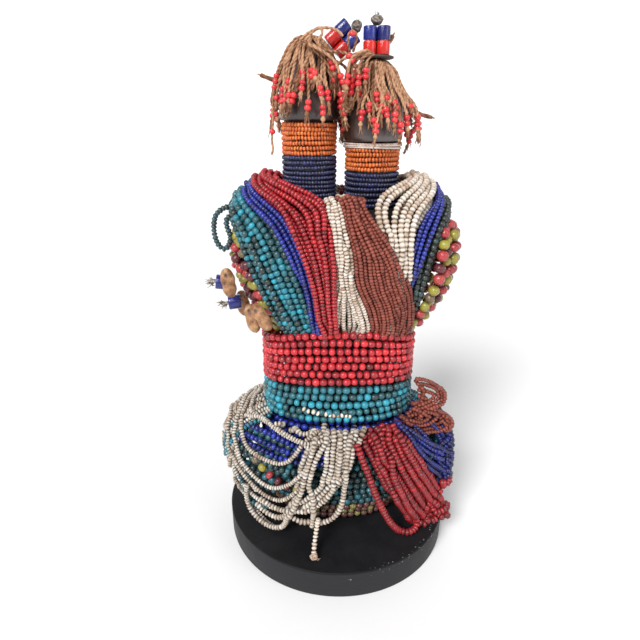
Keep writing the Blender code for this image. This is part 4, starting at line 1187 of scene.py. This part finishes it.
# The brown strands bunch at the right side, in layers that come forward to the left, each laid twice.
BUNCH_EDGE, BUNCH_SQUEEZE = 435, 0.75
BUNCH_COLUMN, BUNCH_DEPTH, BUNCH_SLOPE, BUNCH_LAYER = 400, -24, 0.22, 3.2
BUNCH_BEAD, BUNCH_STEP = 1.3 * MM, 1.9 * MM
bunch = []
for layer, marks in BROWN_MARKS:
    for again in (0.0, 1.0):
        pixels = smooth_line(marks, 80) + chance.normal(0, 0.6, 2) * again
        pixels[:, 0] = np.minimum(pixels[:, 0], BUNCH_EDGE + BUNCH_SQUEEZE * (pixels[:, 0] - BUNCH_EDGE))
        near = BUNCH_DEPTH + BUNCH_LAYER * (layer + again)
        spots = [at_depth(px, py, near + BUNCH_SLOPE * (px - BUNCH_COLUMN)) for px, py in pixels]
        bunch.append((stepped(np.array(spots), BUNCH_STEP), BUNCH_BEAD))
heap = Heap()
for centres in settle(bunch, 16, 0.06, 0.0, hip_wall, pinned=1):
    thread_beads(heap, centres, BUNCH_BEAD, BUNCH_STEP, mixed_tints(len(centres)))
heap.piece("terracotta_side_bunch", terracotta_glass, "terracotta_glass", "terracotta_side_loops")

# The loose end of one white strand runs forward over the stand to a tied knot.
share = np.linspace(0, 1, 50)
tail = stepped(np.stack([
    (-12 - 2.5 * np.sin(2 * share)) * MM,
    -SKIRT_HALF_DEPTH - (3.4 + 9.5 * smooth_step(1.2 * share)) * MM,
    stand_top + LYING + 0.25 * SKIRT_TOP * (1 - share) ** 2,
], -1), 1.9 * MM)
heap = Heap()
thread_beads(heap, tail, 1.55 * MM, 1.8 * MM, mixed_tints(len(tail)), SEED, 7)
heap.piece("white_tail_beads", white_glass, "white_glass", "white_tail_strand")
tying_thread = cord_yarn(
    "tan tying thread", ((0.15, (0.16, 0.08, 0.05)), (0.5, (0.42, 0.28, 0.19)), (0.85, (0.66, 0.52, 0.40)))
)
knot = Heap()
for k in range(5):
    turn = np.linspace(0, 2 * np.pi, 20) + k
    lean = chance.normal(0, 0.6, 3) * MM
    ring = np.stack([1.5 * MM * np.cos(turn), 1.1 * MM * np.sin(turn), lean[2] * np.cos(turn)], -1) + lean
    cord_tube(knot, tail[-1] + (0, -0.8 * MM, 0.3 * MM) + ring, 0.7 * MM, 0.6)
frayed(knot, tail[-1] + (0, -1 * MM, 0.3 * MM), (0.8, -0.5, 0.1), 3.2 * MM, 8, 0.4 * MM, 0.35)
knot.piece("tail_knot", tying_thread, "hair_cord")

# Odd strings show between the loops and in the belt: worn white seeds, turquoise rounds, old mixed
# beads. Each group: its glass and slot, the surface it lies on, its beads' radius and step in mm.
belt_wall, behind = wall_of("teal_belt"), skirt_shell(-4.0 * MM)
for material, slot, surface, radius, long, strings in (
    (white_glass, "white_glass", belt_wall, 1.5, 2.0, {
        "white_seeds_in_belt": ((326, 414.2), (331, 415), (337, 415.5), (343, 415.5), (350, 416)),
        "white_seeds_at_belt_left": ((304, 409), (309, 411.5), (314, 412), (318, 413.5)),
    }),
    (blue_glass, "blue_glass", shells[0], 1.8, 2.9, {
        "blue_side_row_1": ((247, 425), (256, 428), (266, 432), (284, 441), (301, 449), (318, 452)),
        "blue_side_row_2": (
            (243, 432), (252, 437), (261, 441), (278, 449), (294, 454), (311, 457), (335, 457),
        ),
        "blue_side_row_3": (
            (241, 438), (249, 443), (257, 447), (274, 456), (291, 461), (308, 464), (328, 464),
        ),
    }),
    (dark_teal, "teal_glass", shells[0], 2.0, 3.4, {
        "grey_side_row_1": ((243, 447), (252, 454), (266, 463), (283, 470), (300, 473)),
        "grey_side_row_2": ((238, 455), (244, 466), (252, 476), (262, 484), (274, 490)),
    }),
    (dark_teal, "teal_glass", behind, 2.6, 4.4, {
        "grey_side_row_3": ((238, 420), (248, 426), (260, 432), (278, 442), (296, 450)),
        "grey_side_row_4": ((238, 428), (248, 434), (260, 440), (276, 450), (292, 458)),
        "grey_side_row_5": ((237, 437), (247, 443), (259, 450), (274, 459), (290, 466)),
        "grey_side_row_6": ((236, 446), (245, 452), (256, 460), (270, 468), (286, 474)),
        "grey_side_row_7": ((236, 455), (244, 461), (254, 469), (266, 477), (280, 482)),
    }),
    (teal_glass, "teal_glass", shells[1], 1.7, 3.0, {
        "turquoise_side_string": (
            (241, 477), (243, 484), (246, 492), (250, 499), (256, 504), (262, 506), (268, 506),
        ),
    }),
    (mixed_glass, "mixed_glass", shells[0], 2.7, 4.9, {
        "old_beads_between_loops": ((256, 459), (263, 468), (270, 475), (278, 481), (287, 486), (297, 490)),
    }),
):
    for name, marks in strings.items():
        path = stepped(traced(marks, surface), long * MM)
        tint = mixed_run(len(path)) if slot == "mixed_glass" else mixed_tints(len(path), 0.5)
        heap = Heap()
        thread_beads(heap, path, radius * MM, 0.95 * long * MM, tint, ROUND, 8)
        heap.piece(name, material, slot)


# The hair is a fringe of laid plant-fibre cords tied at the top of each head. Each cord ends in
# a few red beads, a knot that holds them and a frayed tail.

# Where the cords' ends show: their pixels and the number of beads on each.
LEFT_ENDS = (
    (276.3, 73.9, 3), (279.4, 86.6, 3), (289.6, 78.3, 2), (300.5, 67.5, 2), (305, 70, 1),
    (310, 67.5, 2), (313.9, 70.7, 1),
    (300.1, 80.3, 2), (294.1, 93, 2), (289, 93, 1), (316.4, 85.4, 2), (307.5, 100, 2), (327.9, 90.5, 2),
    (321.8, 105.1, 2),
    (274.5, 95.6, 1), (333, 65, 2), (334.3, 73.9, 1), (339.4, 80.3, 2), (340.7, 99.4, 2),
    (342.2, 113.4, 2), (284, 98, 1),
)
RIGHT_ENDS = (
    (349, 56, 3), (348.3, 81.5, 2), (349, 88, 2), (358.5, 79, 3), (365.5, 73.9, 2), (376.4, 91.7, 2),
    (368.3, 102, 2),
    (363.6, 110.2, 2), (382.8, 103.2, 2), (389.8, 107, 2), (394.2, 112, 2), (397, 100.7, 2),
    (373.8, 117.9, 1),
    (380.5, 123.6, 2), (402.1, 123, 2), (408.3, 115.3, 2), (416.2, 116.6, 2), (421.3, 114.7, 3),
    (387, 95, 1), (411, 104, 1),
)
CORD_ENDS = {"left": LEFT_ENDS, "right": RIGHT_ENDS}
HAIR_MIDDLE = {"left": (307, 80), "right": (375, 95)}
HAIR_CORD, HAIR_BEAD = 0.76 * MM, 1.62 * MM
HAIR_REACH, HAIR_RADIUS = 80 * MM, 19 * MM
UNSEEN_CORDS, FILLING_CORDS = 24, 54
hair_beads = glass(
    "scarlet bead glass",
    ((0.0, (0.42, 0.014, 0.02)), (0.5, (0.74, 0.025, 0.035)), (1.0, (0.88, 0.06, 0.06))),
    roughness=0.28, dust_and_shade=0.15, coat=0.5,
)
# Cord stubs, loose cords and their beads, by pixels of the photograph and a depth in mm.
STIFF_ENDS = {
    "left": ((281, 82, 260.5, 75, -4),),
    "right": ((411, 111, 432, 117.5, -4), (385, 49, 393, 35.5, 0)),
}
LOOSE_CORDS = {
    "left": (
        (-14, (300, 40), (308, 33), (318, 28.5), (330, 28), (338, 31), (343, 36)),
        (-15, (303, 42), (310, 35), (316, 29), (321, 28), (322, 34), (318, 41), (322, 50)),
        (-6, (273.5, 96), (272.8, 108), (273, 120), (272.3, 131), (272, 141), (273, 149), (271.5, 155)),
    ),
    "right": (
        (-13, (350, 52), (348, 42), (349, 34), (352, 31), (356, 33), (356, 42), (353, 52)),
    ),
}
LOOSE_BEADS = {"left": ((272.3, 131.5, -6),), "right": ((352.3, 33.5, -14.5),)}
# Cords that hang between the heads: beads, depth in mm and pixels.
HANGING_CORDS = {
    "left": (
        (2, -16, (303, 41), (316, 46), (329, 51), (341, 52), (348, 54)),
        (2, -14, (306, 42), (320, 50), (329, 56), (331, 60)),
        (2, -17, (308, 44), (324, 52), (335, 62), (340, 74)),
        (1, -13, (312, 48), (324, 60), (331, 70), (334, 78)),
        (2, -12, (316, 50), (328, 64), (337, 80), (340, 92)),
        (2, -11, (318, 56), (330, 74), (340, 92), (343, 106)),
        (2, -9, (318, 50), (330, 58), (344, 66), (351, 78)),
    ),
    "right": (
        (2, -17, (368, 50), (358, 53), (350, 61), (348, 74)),
        (3, -15, (370, 51), (361, 56), (353, 66), (352, 78)),
        (2, -18, (372, 52), (364, 57), (359, 66), (359, 75)),
        (2, -17, (374, 53), (368, 59), (366, 68)),
        (2, -13, (368, 51), (356, 58), (348, 72), (345, 86)),
        (1, -12, (366, 51), (352, 60), (346, 76), (346, 96)),
        (0, -11, (362, 52), (350, 56), (340, 62), (333, 72)),
        (0, -10, (364, 54), (354, 64), (350, 80), (350, 96)),
    ),
}


def finish_cord(cords, beads_heap, path, beads, tint):
    """Lays a cord along a path, with its beads, the knot that holds them and its frayed tail."""
    way = unit(unit(path[-1] - path[-6]) * 0.6 + (0, 0, -0.55) + chance.normal(0, 0.12, 3))
    tail = path[-1] + way * np.linspace(0.2 * MM, 1.7 * HAIR_BEAD * beads + 0.8 * MM, 8)[:, None]
    cord_tube(cords, np.concatenate([path, tail]), HAIR_CORD, tint)
    if beads:
        places = path[-1] + way * (0.9 * MM + 1.64 * HAIR_BEAD * np.arange(beads))[:, None]
        tints = chance.uniform(0.2, 0.9, beads)
        thread_beads(beads_heap, places, HAIR_BEAD, 1.6 * HAIR_BEAD, tints, ROUND, 8, way)
        thread_beads(cords, tail[-1:], 1.15 * MM, 2.2 * MM, [tint], ROUND, 6, way, 0.3)
        frayed(cords, tail[-1], way, chance.uniform(4.0, 6.5) * MM, 8, 0.50 * MM, 0.22)


for name, x, rim_height in NECKS:
    node = name + "_hair_cords"
    wall = wall_of(node)
    low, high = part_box(node)
    heart = np.array([x, 0, stand_top + rim_height + 0.30 * HEAD_HEIGHT])

    def draped(azimuth, tip, sink):
        """A point on the hair's outside, at an angle round the head and an angle down from its top."""
        way = np.array([math.sin(tip) * math.sin(azimuth), -math.sin(tip) * math.cos(azimuth), math.cos(tip)])
        spot = wall.ray_cast(Vector(heart + way * HAIR_REACH), Vector(-way))[0]
        reach = np.linalg.norm(np.array(spot) - heart) if spot is not None else HAIR_RADIUS
        return heart + way * (reach - sink)

    ends = []
    for px, py, beads in CORD_ENDS[name]:
        off = seen_on(wall, px, py, HAIR_MIDDLE[name]) - heart
        ends.append((math.atan2(off[0], -off[1]), math.acos(off[2] / np.linalg.norm(off)), beads, 0.0))
    for k in range(UNSEEN_CORDS):
        azimuth = math.pi + 3.4 * ((k + 0.5) / UNSEEN_CORDS - 0.5)
        ends.append((azimuth, chance.uniform(1.35, 1.85), int(chance.integers(1, 4)), 0.0))
    for k in range(FILLING_CORDS):
        azimuth = 2 * math.pi * k / FILLING_CORDS + chance.normal(0, 0.1)
        ends.append((azimuth, chance.uniform(1.15, 1.45), 0, chance.uniform(0.2, 1.4) * MM))
    cords, beads_heap = Heap(), Heap()
    for azimuth, tip, beads, deep in ends:
        start = azimuth + chance.normal(0, 0.35)
        sink = deep + chance.uniform(0.0, 1.2) * MM
        shares = np.linspace(0, 1, 12)
        sway = chance.normal(0, 0.06) * np.sin(shares * math.pi * chance.uniform(1, 3))
        path = np.array([
            draped(start + (azimuth - start) * u**0.7 + bend, 0.06 + (tip - 0.06) * u, sink)
            for u, bend in zip(shares, sway)
        ])
        finish_cord(cords, beads_heap, smooth_line(path, 60), beads, chance.uniform(0.15, 0.95))
    for beads, depth, *pixels in HANGING_CORDS[name]:
        path = np.array([at_depth(px, py, depth) for px, py in smooth_line(pixels, 40)])
        finish_cord(cords, beads_heap, path, beads, chance.uniform(0.2, 0.9))
    top = np.array([x, 0, high.z - 0.8 * MM])
    for turn in range(3):
        angle = np.linspace(0, 2 * np.pi, 30)
        size = (2.6 + 0.5 * turn) * MM
        ring = top + np.stack([size * np.cos(angle), size * np.sin(angle), 0 * angle - 0.5 * turn * MM], -1)
        cord_tube(cords, ring, HAIR_CORD, 0.6)
    for px, py, to_px, to_py, depth in STIFF_ENDS[name]:
        foot, tip = at_depth(px, py, depth), at_depth(to_px, to_py, depth)
        bend = at_depth((px + to_px) / 2, (py + to_py) / 2 + 0.5, depth)
        cord_tube(cords, [foot, bend, tip], 1.25 * MM, 0.3, taper=0.9)
        frayed(cords, tip, tip - foot, 1.6 * MM, 9, 0.5 * MM, 0.15)
    for depth, *pixels in LOOSE_CORDS[name]:
        path = smooth_line([at_depth(px, py, depth) for px, py in pixels], 60)
        cord_tube(cords, path, 0.9 * HAIR_CORD, chance.uniform(0.4, 0.9))
    for px, py, depth in LOOSE_BEADS[name]:
        place = at_depth(px, py, depth)[None]
        thread_beads(beads_heap, place, HAIR_BEAD, 1.5 * HAIR_BEAD, [0.6], ROUND, 8, (0.2, 0, 1.0))
    cords.piece(node + "_laid", hair_yarn, "hair_cord", node)
    beads_heap.piece(name + "_hair_beads", hair_beads, "red_glass")


# A few turns of pale thread are wound round the neck just under the right head. The thread is
# a thin twisted cord, and its turns lie loose and a little askew.

pale_thread = cord_yarn(
    "pale wound thread", ((0.15, (0.30, 0.18, 0.13)), (0.5, (0.66, 0.50, 0.42)), (0.85, (0.86, 0.80, 0.74)))
)
_, neck_x, neck_top = NECKS[1]
angle = np.linspace(0, 2 * np.pi, 80)
heap = Heap()
for k in range(4):
    reach = NECK_RADIUS + (2.3 + 0.25 * np.sin(2 * angle + k)) * MM
    level = stand_top + neck_top - (0.2 + 0.8 * k) * MM + 0.5 * MM * np.sin(angle + 1.3 * k)
    ring = np.stack([neck_x + reach * np.cos(angle), reach * np.sin(angle), level], -1)
    cord_tube(heap, ring, 0.5 * MM, 0.4 + 0.15 * k)
heap.piece("right_neck_pale_thread", pale_thread, "hair_cord")


# On top of each head stand three red tube beads with three blue ones above, held by a knotted cord.
# The right crown stands on a small plate of dark hide.

CROWN_KNOT, KNOT_CORD = 0.80, 0.8 * MM
crown_red = glass(
    "red tube glass", ((0.0, (0.45, 0.010, 0.008)), (0.5, (0.62, 0.016, 0.012)), (1.0, (0.75, 0.03, 0.02))),
    roughness=0.2, dust_and_shade=0.25, coat=0.6,
)
for side in ("left", "right"):
    for colour, material in (("red", crown_red), ("blue", tube_blue)):
        for k in (1, 2, 3):
            node = f"{side}_crown_{colour}_bead_{k}"
            tube_bead(node, material, colour + "_glass", chance.uniform(0.2, 0.8), 28)
    node = side + "_crown_knot"
    low, high = (np.array(corner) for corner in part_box(node))
    centre, size = (low + high) / 2, (high - low) / 2
    turn = np.linspace(0, 2 * np.pi, 26)
    swell = CROWN_KNOT + 0.06 * np.sin(3 * turn)
    heap = Heap()
    for _ in range(9):
        tilt, spin = chance.uniform(0, math.pi, 2)
        u = np.array([math.cos(spin), math.sin(spin), 0])
        v = np.array([-math.sin(spin) * math.cos(tilt), math.cos(spin) * math.cos(tilt), math.sin(tilt)])
        ring = np.outer(np.cos(turn) * swell, u) + np.outer(np.sin(turn) * swell, v)
        cord_tube(heap, centre + ring * (size - 0.5 * MM), KNOT_CORD, chance.uniform(0.2, 0.9))
    frayed(heap, centre - (0, 0, 0.1 * size[2]), (0, 0, 1), 2.6 * MM, 16, 0.42 * MM, 0.5)
    around = np.radians(np.arange(4, 180, 16))
    ball = CROWN_KNOT * np.stack([size[0] * np.sin(around), -size[2] * np.cos(around)], -1)
    turned(heap, ball, 16, centre, wobble=0.03)
    heap.piece(node + "_cord", crown_yarn, "hair_cord", node)


def hide():
    material, place = new_finish("dark hide", (0.05, 0.034, 0.028), 0.7)
    grain = noise(place, 900.0, 5.0)
    place.blend(grain, (0.025, 0.017, 0.014, 1), (0.12, 0.085, 0.07, 1)).feed("Base Color")
    (grain * 0.3 + 0.5).feed("Roughness")
    place.raise_by(grain * 0.0004)
    return material


PLATE_EDGE = ((0.90, 0.0), (0.97, 0.12), (1.0, 0.4), (1.0, 0.7), (0.97, 0.92), (0.90, 1.0), (0.3, 1.0))
low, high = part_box("right_crown_plate")
middle, radius = (low + high) / 2, 0.985 * (high.x - low.x) / 2
profile = [(share * radius, low.z + rise * (high.z - low.z)) for share, rise in PLATE_EDGE]
plate = Heap()
turned(plate, profile, 48, (middle.x, middle.y, 0), wobble=0.007)
plate.piece("crown_hide_plate", hide(), "dark_hide", "right_crown_plate")


# The studio is plain: a pale floor that curves up behind, a soft key light from the left, a
# weak fill from the right, and the camera of the photograph.

SENSOR, FRAME_PIXELS = 36, 640
camera = bpy.data.objects.new("camera", bpy.data.cameras.new("camera"))
camera.data.sensor_width = SENSOR
camera.data.lens = SENSOR * PIXELS / FRAME_PIXELS
camera.location = EYE
camera.rotation_euler = (math.pi / 2 - PITCH, 0, 0)
bpy.context.scene.collection.objects.link(camera)
bpy.context.scene.camera = camera

floor = bpy.data.objects.new("floor", bpy.data.meshes.new("floor"))
bend = [(2.2 + 0.8 * math.sin(a), 0.8 - 0.8 * math.cos(a)) for a in np.linspace(0, math.pi / 2, 13)]
sweep = [(-4.0, 0.0), *bend, (3.0, 3.0)]
strips = [(2 * k, 2 * k + 1, 2 * k + 3, 2 * k + 2) for k in range(len(sweep) - 1)]
floor.data.from_pydata([(x, y, z) for y, z in sweep for x in (-6, 6)], [], strips)
floor.data.shade_smooth()
floor.data.materials.append(new_finish("pale floor", (0.90, 0.90, 0.90), 0.8)[0])
bpy.context.scene.collection.objects.link(floor)

world = bpy.data.worlds.new("studio")
world.use_nodes = True
backdrop = world.node_tree.nodes["Background"].inputs
backdrop["Color"].default_value = (1, 1, 1, 1)
backdrop["Strength"].default_value = 0.36
bpy.context.scene.world = world
bpy.context.scene.view_settings.view_transform = "Standard"
for name, kind, place, power, softness in (
    ("key light", "SUN", (-0.5, -0.85, 0.95), 3.3, math.radians(24)),
    ("fill light", "AREA", (0.75, -0.5, 0.5), 2.0, 0.5),
):
    lamp = bpy.data.objects.new(name, bpy.data.lights.new(name, kind))
    setattr(lamp.data, "angle" if kind == "SUN" else "size", softness)
    lamp.data.energy = power
    lamp.location = place
    lamp.rotation_euler = (Vector((0, 0, 0.15)) - Vector(place)).to_track_quat("-Z", "Y").to_euler()
    bpy.context.scene.collection.objects.link(lamp)
